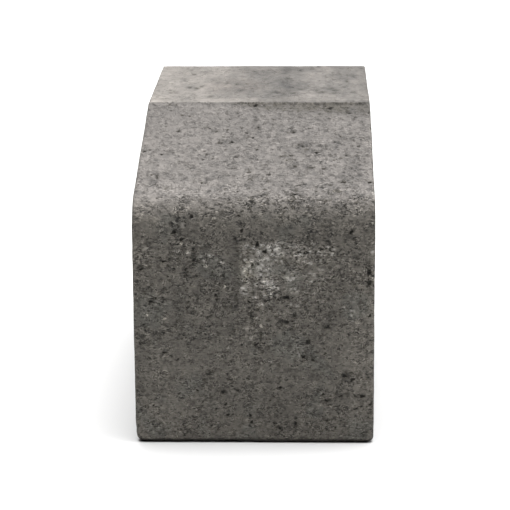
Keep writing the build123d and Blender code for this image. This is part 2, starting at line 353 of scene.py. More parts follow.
# the pale scuff on the front face and the smears beside it: x, z, half width, half height, strength
PALE_MARKS = [
    (18.8, 38.2, 0.6, 0.6, 0.90), (16.4, 85.3, 2.3, 1.5, 0.50), (6.4, 82.0, 1.2, 1.1, 0.70), (28.2, 82.2, 1.3, 0.9, 0.60), (3.4, 77.0, 1.3, 1.1, 0.85), (1.0, 69.2, 1.1, 1.0, 0.55),
    (28.2, 71.8, 1.2, 0.8, 0.30), (6.0, 61.2, 1.2, 0.8, 0.32), (24.6, 86.2, 1.4, 0.7, 0.40), (-1.4, 46.0, 1.6, 1.0, 0.28), (-3.4, 50.0, 1.4, 0.8, 0.24),
    (-10.4, 41.6, 0.8, 0.7, 0.40), (-6.6, 37.5, 1.9, 0.6, 0.34), (7.0, 36.4, 1.6, 0.5, 0.34), (20.2, 41.4, 0.8, 0.6, 0.40), (0.8, 55.0, 1.2, 0.6, 0.45), (10.6, 57.2, 1.1, 0.6, 0.45),
    (-2.8, 85.8, 0.9, 1.3, 0.85), (0.3, 84.7, 1.0, 0.8, 0.90), (-4.3, 84.7, 1.4, 1.3, 0.22), (-5.3, 81.7, 0.9, 0.6, 0.45), (-3.0, 82.0, 1.3, 0.7, 0.30),
    (2.4, 82.5, 1.5, 1.8, 0.95), (3.9, 85.3, 1.7, 1.5, 0.78), (6.5, 84.7, 1.5, 1.8, 0.90), (7.5, 81.7, 2.0, 0.8, 0.95), (10.1, 85.8, 2.0, 1.5, 0.85),
    (9.3, 83.9, 1.4, 1.1, 0.90), (10.5, 81.7, 0.8, 0.7, 0.80), (12.7, 82.8, 1.6, 1.5, 0.42), (2.9, 79.3, 2.1, 0.7, 0.72), (5.5, 80.1, 1.6, 1.2, 0.80),
    (2.6, 76.3, 1.7, 1.8, 0.85), (5.7, 75.7, 1.3, 1.1, 1.15), (6.7, 77.4, 0.9, 0.7, 0.80), (2.4, 78.2, 1.4, 0.7, 0.62), (9.1, 79.0, 1.1, 1.2, 0.46),
    (11.6, 78.7, 1.1, 0.8, 0.52), (-0.9, 79.3, 0.8, 0.8, 1.10), (-3.3, 79.3, 0.9, 1.5, 0.80), (-1.5, 76.8, 0.8, 1.2, 0.95), (-3.5, 75.7, 1.1, 1.2, 0.90),
    (-4.1, 73.6, 1.4, 0.7, 0.62), (-1.2, 74.7, 0.9, 1.5, 0.75), (2.4, 73.0, 1.4, 0.8, 0.95), (4.9, 73.0, 1.4, 0.9, 0.48), (4.2, 70.6, 1.4, 0.8, 0.82),
    (7.5, 70.8, 0.8, 0.9, 0.55), (6.2, 68.9, 1.0, 0.9, 1.15), (7.9, 68.0, 1.3, 0.8, 1.20), (10.1, 67.5, 0.8, 0.6, 0.95), (6.5, 66.8, 1.3, 0.5, 1.00),
    (7.3, 65.1, 1.6, 0.6, 0.80), (9.3, 66.2, 0.8, 0.6, 0.60), (2.9, 68.4, 1.6, 0.9, 0.56), (-4.2, 67.5, 1.6, 0.5, 0.85), (-3.8, 65.3, 1.6, 0.5, 0.76),
    (-5.3, 66.2, 0.8, 1.2, 0.52), (-1.7, 67.3, 0.8, 0.7, 0.56), (-2.0, 70.8, 0.9, 1.2, 0.56), (-4.4, 70.7, 0.7, 0.5, 0.85), (0.3, 63.5, 1.0, 0.7, 0.85),
    (4.7, 64.1, 0.7, 1.0, 0.60), (2.9, 60.5, 1.4, 0.8, 0.78), (14.7, 74.9, 0.8, 0.6, 0.80), (14.8, 70.8, 1.7, 0.9, 0.78), (16.3, 71.7, 0.9, 1.2, 0.72),
    (13.2, 71.4, 0.9, 0.9, 0.50), (16.3, 67.3, 1.6, 0.5, 0.62), (20.6, 73.0, 1.5, 0.7, 0.52), (21.1, 79.0, 1.2, 0.7, 0.55), (18.3, 79.0, 1.2, 0.7, 0.52),
    (17.3, 82.0, 0.8, 0.9, 1.10), (19.1, 82.0, 1.1, 0.8, 0.95), (19.1, 84.0, 1.6, 0.7, 0.82), (16.3, 85.5, 0.8, 0.7, 0.62), (20.4, 88.0, 0.6, 0.9, 0.55),
    (18.1, 60.0, 1.3, 0.45, 0.90), (15.0, 60.5, 0.9, 1.2, 0.46), (17.8, 66.0, 1.1, 0.7, 0.40), (26.5, 82.8, 1.0, 0.9, 1.05), (23.1, 83.2, 0.9, 0.5, 0.80),
    (22.5, 84.7, 0.7, 0.7, 0.62), (30.5, 85.0, 0.7, 0.6, 0.95), (32.9, 84.0, 0.9, 0.5, 0.62), (32.3, 82.0, 0.9, 0.8, 0.72), (29.6, 82.5, 1.1, 0.7, 0.52),
    (23.3, 78.2, 1.0, 0.8, 0.82), (27.5, 79.4, 0.8, 0.7, 0.56), (27.8, 75.6, 1.4, 0.5, 0.46), (23.9, 73.6, 2.1, 0.5, 0.52), (25.2, 72.2, 1.6, 1.2, 0.30),
    (23.9, 70.4, 1.0, 0.4, 0.62), (22.9, 69.2, 1.1, 0.5, 0.46), (37.0, 79.1, 1.1, 0.5, 0.60), (41.5, 80.0, 0.5, 0.5, 0.60), (49.1, 82.7, 0.9, 0.5, 0.90),
    (49.4, 71.1, 0.7, 0.8, 0.80), (49.0, 75.5, 0.7, 0.9, 0.60), (46.6, 72.5, 0.8, 1.0, 0.42), (25.1, 65.3, 0.6, 0.7, 0.60), (40.1, 64.5, 0.6, 0.6, 0.80),
    (40.8, 61.3, 0.9, 0.6, 0.50), (37.8, 59.7, 1.1, 0.6, 0.52), (40.6, 57.8, 1.4, 0.4, 0.62), (40.4, 56.2, 0.7, 0.7, 0.50),
    (-31.2, 83.2, 2.2, 0.6, 0.60), (-27.0, 82.6, 1.2, 0.6, 0.50), (-21.8, 80.8, 0.8, 0.8, 0.60), (-20.2, 79.4, 0.7, 0.6, 0.55), (-17.6, 81.2, 1.4, 0.6, 0.75),
    (-15.2, 80.0, 1.2, 0.5, 0.70), (-18.4, 79.2, 1.0, 0.5, 0.55), (-13.2, 78.8, 1.4, 0.5, 0.60), (-43.8, 84.2, 1.6, 0.5, 0.38), (-29.0, 93.6, 1.2, 0.9, 0.36),
    (14.5, 74.0, 25.0, 16.5, 0.07), (2.5, 75.5, 8.5, 12.0, 0.34), (7.0, 83.4, 8.0, 3.6, 0.46), (-2.0, 83.6, 3.6, 3.0, 0.26), (21.0, 84.0, 9.0, 2.2, 0.26), (5.6, 75.4, 2.8, 2.8, 0.50), (6.4, 68.8, 3.8, 2.8, 0.85),
    (18.0, 83.4, 6.0, 2.2, 0.36), (6.5, 64.5, 5.0, 2.0, 0.34), (-2.8, 75.5, 3.8, 4.0, 0.56), (-2.6, 67.0, 3.8, 2.8, 0.42), (18.0, 82.4, 9.0, 3.0, 0.30), (15.5, 73.0, 4.0, 3.4, 0.26),
    (22.0, 78.6, 4.0, 1.4, 0.16), (7.0, 86.3, 9.0, 1.0, 0.32),
]

# dark ones: gaps in the scuff, darker patches round the pores, soft blotches
DARK_MARKS = [
    (1.6, 86.2, 0.9, 1.9, 0.85), (4.7, 83.1, 0.9, 1.1, 0.70), (-3.7, 78.2, 1.0, 0.9, 0.65), (-0.7, 65.8, 1.6, 0.8, 0.70), (4.7, 74.0, 1.4, 0.4, 0.60), (-1.5, 83.8, 1.6, 0.5, 0.65),
    (-2.0, 82.7, 0.6, 0.5, 0.60), (0.1, 82.0, 0.5, 0.6, 0.60), (-7.1, 84.3, 1.1, 0.4, 0.60), (-5.6, 82.5, 1.4, 0.4, 0.50), (16.8, 84.0, 1.4, 0.6, 0.60),
    (18.6, 82.9, 1.4, 0.4, 0.85), (20.9, 84.2, 0.5, 0.9, 0.85), (8.0, 80.6, 1.6, 0.5, 0.50), (9.3, 78.5, 0.9, 0.4, 0.65), (12.4, 73.6, 0.9, 0.9, 0.52),
    (0.6, 61.3, 0.9, 0.8, 0.75), (-1.8, 59.2, 0.7, 0.6, 0.85), (-6.9, 62.3, 1.0, 0.8, 0.60), (-4.1, 63.0, 0.8, 0.9, 0.55), (4.7, 61.9, 0.7, 0.6, 0.50),
    (7.5, 59.2, 0.8, 0.6, 0.50), (9.6, 61.6, 1.0, 0.5, 0.50), (13.4, 63.4, 2.4, 1.3, 0.55), (21.9, 83.1, 0.6, 0.5, 0.85), (24.6, 82.4, 1.0, 0.4, 0.85),
    (25.7, 83.1, 0.6, 0.4, 0.85), (28.7, 84.0, 0.7, 0.4, 0.75), (30.0, 84.3, 0.6, 0.4, 0.75), (31.5, 83.8, 0.6, 0.6, 0.90), (32.4, 85.0, 0.9, 0.4, 0.65),
    (35.0, 85.4, 1.2, 0.3, 0.55), (30.9, 81.9, 0.8, 0.4, 0.65), (29.2, 88.6, 0.8, 0.7, 0.75), (30.6, 87.4, 0.9, 0.7, 0.55), (23.0, 87.7, 0.5, 0.9, 0.55),
    (19.2, 87.3, 0.8, 0.5, 0.55), (29.8, 78.2, 1.0, 0.6, 0.75), (31.6, 76.1, 1.1, 0.5, 0.65), (33.7, 75.1, 0.6, 0.5, 0.55), (35.8, 75.1, 0.7, 0.6, 0.55),
    (30.7, 71.1, 0.8, 0.7, 0.75), (36.0, 71.1, 0.9, 0.4, 0.50), (33.6, 68.7, 1.4, 0.35, 0.65), (35.8, 68.1, 0.6, 0.5, 0.65), (35.5, 66.5, 0.9, 0.9, 0.55),
    (34.2, 64.9, 0.4, 0.8, 0.65), (32.2, 63.9, 0.9, 0.6, 0.50), (30.9, 62.7, 0.8, 0.6, 0.65), (23.3, 66.6, 0.6, 0.9, 0.55), (26.2, 61.6, 1.4, 0.45, 0.65),
    (42.2, 77.6, 1.2, 0.45, 0.75), (42.2, 81.0, 1.2, 0.35, 0.55), (36.4, 81.7, 1.2, 0.4, 0.55), (44.2, 71.4, 0.6, 0.5, 0.55), (36.0, 58.3, 0.7, 0.6, 0.90),
    (38.5, 59.2, 0.5, 0.7, 0.80), (36.9, 57.2, 0.8, 0.6, 0.75), (44.2, 61.6, 0.6, 1.2, 0.55), (39.4, 56.7, 0.5, 0.6, 0.75), (40.1, 67.3, 0.7, 0.5, 0.55),
    (44.2, 64.3, 0.5, 0.7, 0.65), (47.6, 71.8, 1.4, 4.4, 0.45), (11.7, 53.3, 3.0, 1.3, 0.80), (9.6, 55.6, 1.8, 0.8, 0.50), (-16.4, 31.7, 1.7, 0.8, 0.45), (-19.0, 30.4, 1.5, 1.0, 0.52),
    (-20.8, 28.0, 1.0, 1.9, 0.46), (-21.6, 24.8, 0.8, 1.9, 0.38), (-18.7, 9.9, 2.2, 1.6, 0.30), (18.8, 28.2, 0.9, 2.6, 0.40), (37.6, 29.6, 2.0, 1.6, 0.48), (36.3, 20.8, 2.8, 1.6, 0.42),
    (43.6, 20.8, 3.4, 0.9, 0.52), (30.4, 10.1, 2.6, 1.0, 0.45), (22.5, 38.0, 3.6, 1.8, 0.38), (30.6, 51.0, 1.8, 1.4, 0.45), (-13.0, 22.4, 2.0, 1.2, 0.45),
    (-24.9, 81.0, 1.6, 3.2, 0.42), (-36.6, 79.4, 3.0, 1.2, 0.42), (-46.3, 75.8, 1.8, 2.6, 0.35), (-27.6, 76.2, 1.8, 1.8, 0.35), (17.4, 8.7, 1.2, 2.2, 0.40),
    (34.0, 21.6, 0.9, 0.8, 0.60), (36.3, 21.1, 0.8, 0.9, 0.60), (38.7, 21.8, 0.9, 0.8, 0.60), (28.6, 20.7, 1.0, 0.6, 0.60), (30.2, 18.6, 1.1, 0.8, 0.50),
    (6.5, 11.6, 0.9, 1.2, 0.50), (8.3, 9.3, 0.8, 1.3, 0.50), (10.4, 7.0, 1.2, 0.8, 0.60), (17.1, 11.0, 0.9, 1.2, 0.50), (33.6, 11.0, 1.2, 0.7, 0.50),
    (15.6, 31.5, 0.5, 1.4, 0.34), (17.2, 29.0, 0.5, 1.5, 0.34), (18.8, 26.7, 0.5, 1.2, 0.30), (0.6, 43.4, 1.1, 0.6, 0.60), (2.6, 42.4, 0.9, 0.8, 0.60), (5.1, 42.9, 0.9, 0.5, 0.50),
    (22.0, 43.6, 0.8, 0.7, 0.60), (23.6, 41.2, 0.7, 0.8, 0.50), (21.4, 37.8, 0.9, 0.6, 0.60), (24.2, 36.6, 0.8, 0.8, 0.55), (-12.4, 40.2, 0.8, 0.6, 0.50),
    (-42.6, 61.6, 1.8, 1.1, 0.50), (-25.3, 57.4, 1.2, 0.8, 0.50), (-14.8, 62.6, 0.9, 0.7, 0.50), (-12.0, 59.2, 0.7, 0.8, 0.50), (-1.6, 52.0, 0.8, 0.7, 0.50),
    (-7.6, 23.8, 1.3, 0.6, 0.45), (-18.9, 20.4, 0.7, 1.4, 0.35), (38.0, 31.6, 1.2, 1.0, 0.50), (-32.0, 61.8, 2.6, 1.6, 0.28), (-28.4, 90.6, 3.6, 3.0, 0.20), (-26.0, 97.0, 3.0, 2.0, 0.20),
]

# shallow dark hollows of the level top: x, distance along the outline, half width, half length, how deep
TOP_MARKS = [
    (-33.4, 239.4, 1.3, 3.2, 0.50), (-30.1, 236.7, 1.5, 2.7, 0.50), (-28.0, 242.0, 0.8, 2.7, 0.45), (-33.1, 275.3, 0.8, 2.1, 0.45), (-40.5, 226.1, 1.9, 3.9, 0.25),
    (-22.4, 215.6, 0.9, 2.1, 0.45), (18.1, 287.1, 0.8, 2.2, 0.60), (32.1, 236.7, 1.9, 5.3, 0.42), (28.4, 226.1, 1.9, 2.6, 0.42), (33.9, 223.5, 1.4, 2.6, 0.38),
    (18.4, 234.0, 1.9, 2.7, 0.38), (14.7, 239.4, 0.9, 2.6, 0.34), (40.5, 255.7, 0.9, 4.1, 0.40), (-5.0, 214.0, 0.7, 1.6, 0.35), (10.0, 252.0, 0.8, 2.0, 0.30),
    (8.0, 226.5, 2.6, 3.2, 0.50), (14.8, 225.0, 1.6, 2.8, 0.45), (12.0, 262.0, 1.3, 3.4, 0.45), (1.2, 262.5, 1.2, 3.0, 0.35), (-16.6, 250.5, 1.6, 2.6, 0.40),
    (-11.5, 247.5, 1.3, 2.8, 0.42), (-7.0, 249.0, 1.6, 2.4, 0.35), (35.0, 231.0, 2.2, 3.4, 0.42), (22.0, 243.0, 1.0, 4.2, 0.30), (26.0, 231.5, 1.1, 3.4, 0.34),
    (23.8, 297.5, 1.0, 2.4, 0.50), (26.7, 298.0, 0.8, 2.4, 0.50), (-20.5, 252.9, 1.4, 2.8, 0.25), (-6.1, 266.8, 2.3, 4.3, 0.20), (7.5, 228.7, 1.9, 2.7, 0.30),
    (-37.6, 261.2, 0.9, 2.3, 0.30), (43.4, 228.7, 0.9, 3.2, 0.30), (37.0, 275.3, 0.9, 2.4, 0.32), (-8.9, 231.4, 1.4, 2.6, 0.25),
]

# where dark specks crowd together: x, distance along the outline, half width, half length, how much
CROWDS = [
    (18.8, 156.0, 2.1, 5.0, 1.00), (15.5, 140.3, 1.8, 4.8, 1.00), (14.8, 169.2, 2.1, 3.1, 0.80), (-2.8, 198.5, 2.0, 3.1, 1.00), (31.5, 195.0, 2.1, 5.2, 0.80),
    (39.4, 191.2, 1.7, 3.2, 1.00), (47.3, 189.1, 1.3, 3.2, 0.80), (46.3, 178.5, 0.9, 3.2, 0.60), (25.7, 150.1, 2.2, 1.8, 1.00), (34.4, 167.2, 1.4, 3.0, 0.80),
    (38.1, 148.1, 1.8, 3.0, 0.80), (37.4, 121.1, 2.1, 3.8, 1.00), (17.0, 110.4, 1.8, 4.2, 1.00), (12.0, 145.1, 2.1, 3.0, 0.80), (8.2, 145.1, 2.0, 2.2, 0.60),
    (-2.6, 131.6, 1.4, 2.2, 0.80), (-2.0, 121.1, 1.7, 6.7, 0.80), (-11.0, 159.0, 1.8, 1.6, 1.00), (-16.1, 159.0, 1.3, 1.6, 0.90), (-22.3, 174.3, 1.1, 2.1, 0.80),
    (-10.0, 189.1, 1.3, 3.2, 0.60), (-34.4, 171.2, 1.8, 1.7, 0.90), (-33.4, 188.0, 1.7, 1.6, 0.80), (-41.2, 126.8, 1.1, 2.9, 0.80), (-35.2, 114.6, 2.8, 1.9, 0.60),
    (19.8, 118.3, 2.1, 3.7, 0.70), (6.8, 122.0, 1.8, 2.9, 0.60), (-5.4, 144.2, 1.6, 1.6, 0.60), (-1.5, 180.6, 0.9, 9.6, 0.60), (-3.7, 164.1, 1.3, 3.1, 0.55),
    (0.4, 174.3, 1.1, 2.1, 0.80), (-7.4, 173.3, 1.0, 2.1, 0.60), (-18.2, 143.2, 0.9, 4.9, 0.50), (23.2, 134.4, 2.1, 2.0, 0.60), (3.3, 108.8, 1.9, 1.7, 0.80),
    (-27.4, 108.8, 2.3, 1.7, 0.50), (46.3, 123.0, 1.0, 1.6, 0.80), (31.9, 112.0, 2.5, 2.6, 0.55), (-12.2, 114.6, 1.6, 1.9, 0.50), (21.4, 152.1, 1.1, 1.9, 0.80),
    (44.0, 112.0, 1.7, 2.6, 0.60), (-30.5, 95.5, 5.0, 5.0, 0.45), (-2.0, 103.0, 3.5, 4.0, 0.90), (19.0, 102.0, 5.0, 3.5, 0.60), (36.5, 101.0, 3.5, 4.0, 0.80), (17.6, 96.5, 2.2, 2.2, 0.90), (40.6, 91.0, 1.6, 2.2, 0.80), (22.8, 89.5, 1.6, 3.2, 0.60),
    (-25.0, 80.2, 2.0, 3.4, 0.80), (-27.6, 73.4, 2.6, 1.8, 0.80), (-36.4, 79.0, 3.0, 1.6, 0.60), (-14.0, 73.8, 3.0, 2.0, 0.60), (-12.4, 75.0, 1.4, 4.2, 0.55),
    (-41.4, 61.3, 2.2, 1.7, 1.00), (-26.5, 59.0, 2.6, 1.7, 0.75), (-14.0, 62.0, 6.0, 2.6, 0.50), (37.7, 59.5, 2.2, 2.8, 0.75), (31.0, 86.5, 3.0, 2.0, 0.60),
    (8.0, 62.0, 12.0, 3.0, 0.40), (2.4, 43.0, 4.4, 3.2, 0.80), (22.4, 40.0, 3.0, 5.6, 0.80), (5.0, 55.5, 12.0, 5.0, 0.45), (-7.0, 26.0, 7.0, 2.0, 0.40), (-46.5, 74.5, 1.8, 3.0, 0.60), (-18.0, 30.5, 2.6, 2.4, 0.70), (36.6, 21.5, 3.4, 2.6, 0.60), (-34.0, 28.0, 4.0, 2.2, 0.45),
    (10.0, 36.0, 5.0, 2.5, 0.40), (-6.0, 16.0, 4.0, 2.0, 0.40), (27.0, 12.0, 4.0, 2.2, 0.50), (46.0, 40.0, 2.0, 4.0, 0.50), (-44.0, 44.0, 2.6, 2.0, 0.50),
]

# where the face is close and smooth: x, distance along the outline, half width, half length, how much
CALM = [
    (-35.0, 37.0, 12.0, 9.0, 0.60), (37.5, 40.0, 11.0, 8.0, 0.60), (20.0, 29.5, 10.0, 6.5, 0.42), (-34.0, 16.5, 9.0, 5.0, 0.48), (-9.0, 11.0, 10.0, 7.0, 0.34),
    (20.0, 15.0, 9.0, 4.5, 0.42), (42.0, 54.0, 6.0, 7.0, 0.40), (6.0, 31.0, 6.0, 5.0, 0.30), (-4.0, 92.0, 8.0, 3.0, 0.30), (-44.5, 94.0, 9.0, 6.0, 0.52), (-13.5, 80.0, 7.0, 14.0, 0.36), (-12.0, 92.5, 9.0, 4.0, 0.40), (-40.0, 104.0, 14.0, 8.0, 0.75), (-20.0, 103.0, 8.0, 6.0, 0.30), (44.0, 93.0, 8.0, 7.0, 0.45), (15.0, 92.5, 12.0, 3.5, 0.40),
]

# broad, barely seen differences in tone, some of them painted light and shade: x, distance along the outline, half
# width, half length, natural log of the change
SHADES = [
    (-22.0, 70.0, 20.0, 24.0, -0.04), (-15.0, 72.0, 7.0, 12.0, -0.03), (-29.0, 93.5, 8.0, 5.5, -0.28), (-48.0, 79.0, 5.0, 12.0, 0.18),
    # the long lighter ovals along the front face's right arris, at x 45 and 49.2 here and at x 48 at the end, are a
    # painted highlight where that arris catches the light
    (-27.0, 18.0, 30.0, 24.0, 0.10), (-34.0, 12.0, 10.0, 9.0, 0.10), (19.0, 33.0, 26.0, 12.0, 0.05), (45.0, 35.0, 8.0, 40.0, 0.16),
    (49.2, 60.0, 1.8, 46.0, 0.20), (37.0, 38.0, 8.0, 8.0, 0.04), (33.0, 55.0, 9.0, 8.0, -0.09), (22.0, 87.0, 14.0, 6.0, -0.10),
    (24.0, 66.5, 9.0, 10.0, -0.04), (-7.9, 74.0, 3.6, 17.0, -0.32), (16.0, 56.0, 13.0, 8.0, 0.08), (0.0, 97.0, 9.0, 6.0, -0.08),
    (-42.0, 108.0, 14.0, 11.0, 0.28), (-24.0, 114.0, 17.0, 9.0, 0.18), (-30.0, 150.0, 26.0, 60.0, 0.07), (-47.0, 100.0, 6.0, 9.0, 0.10),
    (-48.5, 148.0, 4.0, 24.0, 0.15), (-5.0, 114.0, 14.0, 7.0, 0.06), (45.0, 112.0, 10.0, 10.0, 0.14), (49.5, 155.0, 3.5, 45.0, 0.15),
    # the three on the next line darken the slope just below the level top's right edge: painted shade and dirt
    (46.0, 190.0, 7.0, 9.0, -0.08), (47.0, 196.0, 6.0, 6.0, -0.12), (35.0, 192.0, 9.0, 6.0, -0.08),
    (-20.5, 72.0, 0.9, 17.0, -0.10), (0.0, 181.0, 1.8, 26.0, -0.09), (23.0, 158.0, 3.0, 14.0, -0.10), (42.0, 165.0, 3.0, 22.0, -0.06), (-31.0, 186.0, 6.0, 10.0, -0.05),
    (6.0, 241.0, 16.0, 22.0, -0.17), (42.0, 270.0, 12.0, 34.0, -0.15), (49.0, 220.0, 4.0, 30.0, -0.10), (36.0, 284.0, 8.0, 18.0, -0.06),
    # the wide oval along the bottom and the small ones 4 to 6 mm up lighten the front just above the foot: painted
    # light against the foot's painted contact shadow
    (0.0, 7.0, 90.0, 10.0, 0.09), (-33.0, 10.0, 14.0, 12.0, 0.07), (-49.0, 118.0, 3.8, 9.0, 0.27), (8.0, 18.0, 9.0, 8.0, -0.11), (30.0, 6.0, 6.0, 6.0, 0.12), (-46.0, 4.0, 6.0, 6.0, 0.14), (-7.6, 4.0, 5.0, 4.0, 0.12),
    (44.0, 15.0, 5.0, 5.0, 0.10), (4.0, 33.0, 8.0, 4.5, 0.10), (-37.0, 34.0, 6.0, 11.0, 0.12), (42.0, 39.0, 7.0, 6.0, 0.10), (44.0, 72.0, 5.0, 7.0, 0.14),
    (13.0, 107.0, 6.0, 4.0, 0.10), (33.0, 111.0, 9.0, 8.0, 0.10), (-0.5, 119.0, 5.0, 6.0, -0.12), (-5.0, 147.0, 8.0, 6.0, 0.07), (12.0, 133.0, 10.0, 9.0, -0.07),
    (-18.0, 180.0, 10.0, 10.0, -0.07), (-32.0, 160.0, 6.0, 6.0, -0.06), (-40.0, 62.0, 5.0, 5.0, 0.10), (-22.0, 62.0, 5.0, 5.0, 0.09), (-12.5, 244.7, 5.0, 12.0, -0.06),
    (-38.0, 93.0, 6.0, 6.0, 0.10), (-37.5, 40.0, 6.0, 6.0, 0.08), (-26.0, 45.0, 7.0, 6.0, -0.10), (-7.0, 38.0, 5.0, 6.0, 0.09), (14.0, 57.0, 6.0, 5.0, 0.09),
    (37.0, 20.0, 5.0, 5.0, -0.09), (44.5, 52.0, 5.0, 5.0, 0.11), (29.0, 9.0, 6.0, 5.0, 0.09), (-45.0, 32.0, 5.0, 6.0, 0.09), (7.0, 86.5, 12.0, 3.5, -0.09),
    (-9.5, 88.0, 5.0, 5.0, -0.09), (-1.0, 208.0, 6.0, 6.0, -0.08), (1.0, 126.5, 5.0, 7.0, -0.07), (8.0, 76.0, 5.5, 5.0, -0.07), (22.0, 76.0, 5.0, 4.5, -0.07), (22.5, 33.5, 5.0, 5.0, 0.10),
    (3.0, 33.0, 7.0, 5.0, 0.05), (-38.0, 102.0, 14.0, 9.0, -0.085), (-30.0, 94.0, 5.0, 4.0, -0.05), (14.5, 106.5, 5.0, 4.0, 0.13), (34.0, 107.5, 8.0, 4.0, 0.11), (14.6, 92.5, 5.5, 4.0, -0.10), (-8.0, 80.0, 3.5, 12.0, -0.06), (14.0, 79.0, 7.0, 6.0, -0.04), (14.0, 15.0, 7.0, 5.0, -0.08),
    (-1.8, 117.5, 2.2, 6.0, -0.17), (18.8, 156.0, 2.6, 5.0, -0.15), (25.9, 150.7, 2.4, 2.0, -0.17), (15.0, 149.2, 2.2, 3.2, -0.13), (16.0, 136.7, 2.2, 3.2, -0.15), (15.6, 169.5, 2.6, 2.4, -0.15),
    (37.3, 123.0, 2.4, 3.4, -0.18), (17.0, 113.2, 2.4, 3.2, -0.18), (-12.5, 161.0, 4.5, 1.8, -0.14), (-33.2, 188.2, 2.0, 1.7, -0.15), (-40.8, 127.5, 1.6, 2.8, -0.15), (1.0, 175.3, 1.6, 2.0, -0.16),
    (-7.3, 176.0, 1.4, 2.0, -0.13), (-1.2, 187.0, 1.2, 10.0, -0.12), (-47.4, 152.0, 1.6, 2.7, -0.14), (34.3, 149.5, 1.8, 2.7, -0.11), (39.3, 149.5, 1.6, 2.4, -0.14), (43.5, 185.0, 1.6, 3.2, -0.11),
    (36.0, 167.8, 2.2, 3.2, -0.09), (6.8, 121.0, 2.4, 2.6, -0.13), (-22.7, 145.0, 2.2, 3.2, -0.09), (-11.3, 146.0, 3.6, 1.8, -0.10), (30.0, 139.0, 5.0, 5.0, 0.05), (-28.0, 160.0, 5.0, 5.0, 0.04), (-8.5, 87.5, 4.0, 4.0, -0.06), (41.0, 15.0, 7.0, 5.0, 0.08), (-37.0, 64.0, 6.0, 5.0, 0.07), (0.0, 57.7, 5.0, 4.0, 0.10), (29.5, 39.5, 5.0, 5.0, -0.09), (-15.0, 45.5, 5.0, 5.0, -0.07), (-22.0, 47.0, 5.0, 5.0, -0.07), (48.0, 50.0, 5.0, 34.0, 0.10),
]


# bites out of the arrises: x, y, z, radius
BITES = [
    (50.4, -11.2, 124.9, 1.9), (50.3, -0.6, 127.3, 1.3), (50.5, -93.0, 103.6, 1.2), (50.5, -88.0, 106.0, 1.0),
    (-50.4, -2.5, 127.0, 1.5), (-50.5, -8.0, 125.8, 1.2), (50.4, -100.3, 77.0, 1.1), (50.5, -100.4, 66.8, 1.3),
    (-50.5, -57.0, 113.2, 1.1), (50.5, -100.5, 18.5, 1.1), (-50.6, -100.5, 52.0, 1.0), (-50.6, -100.4, 83.0, 0.9),
]


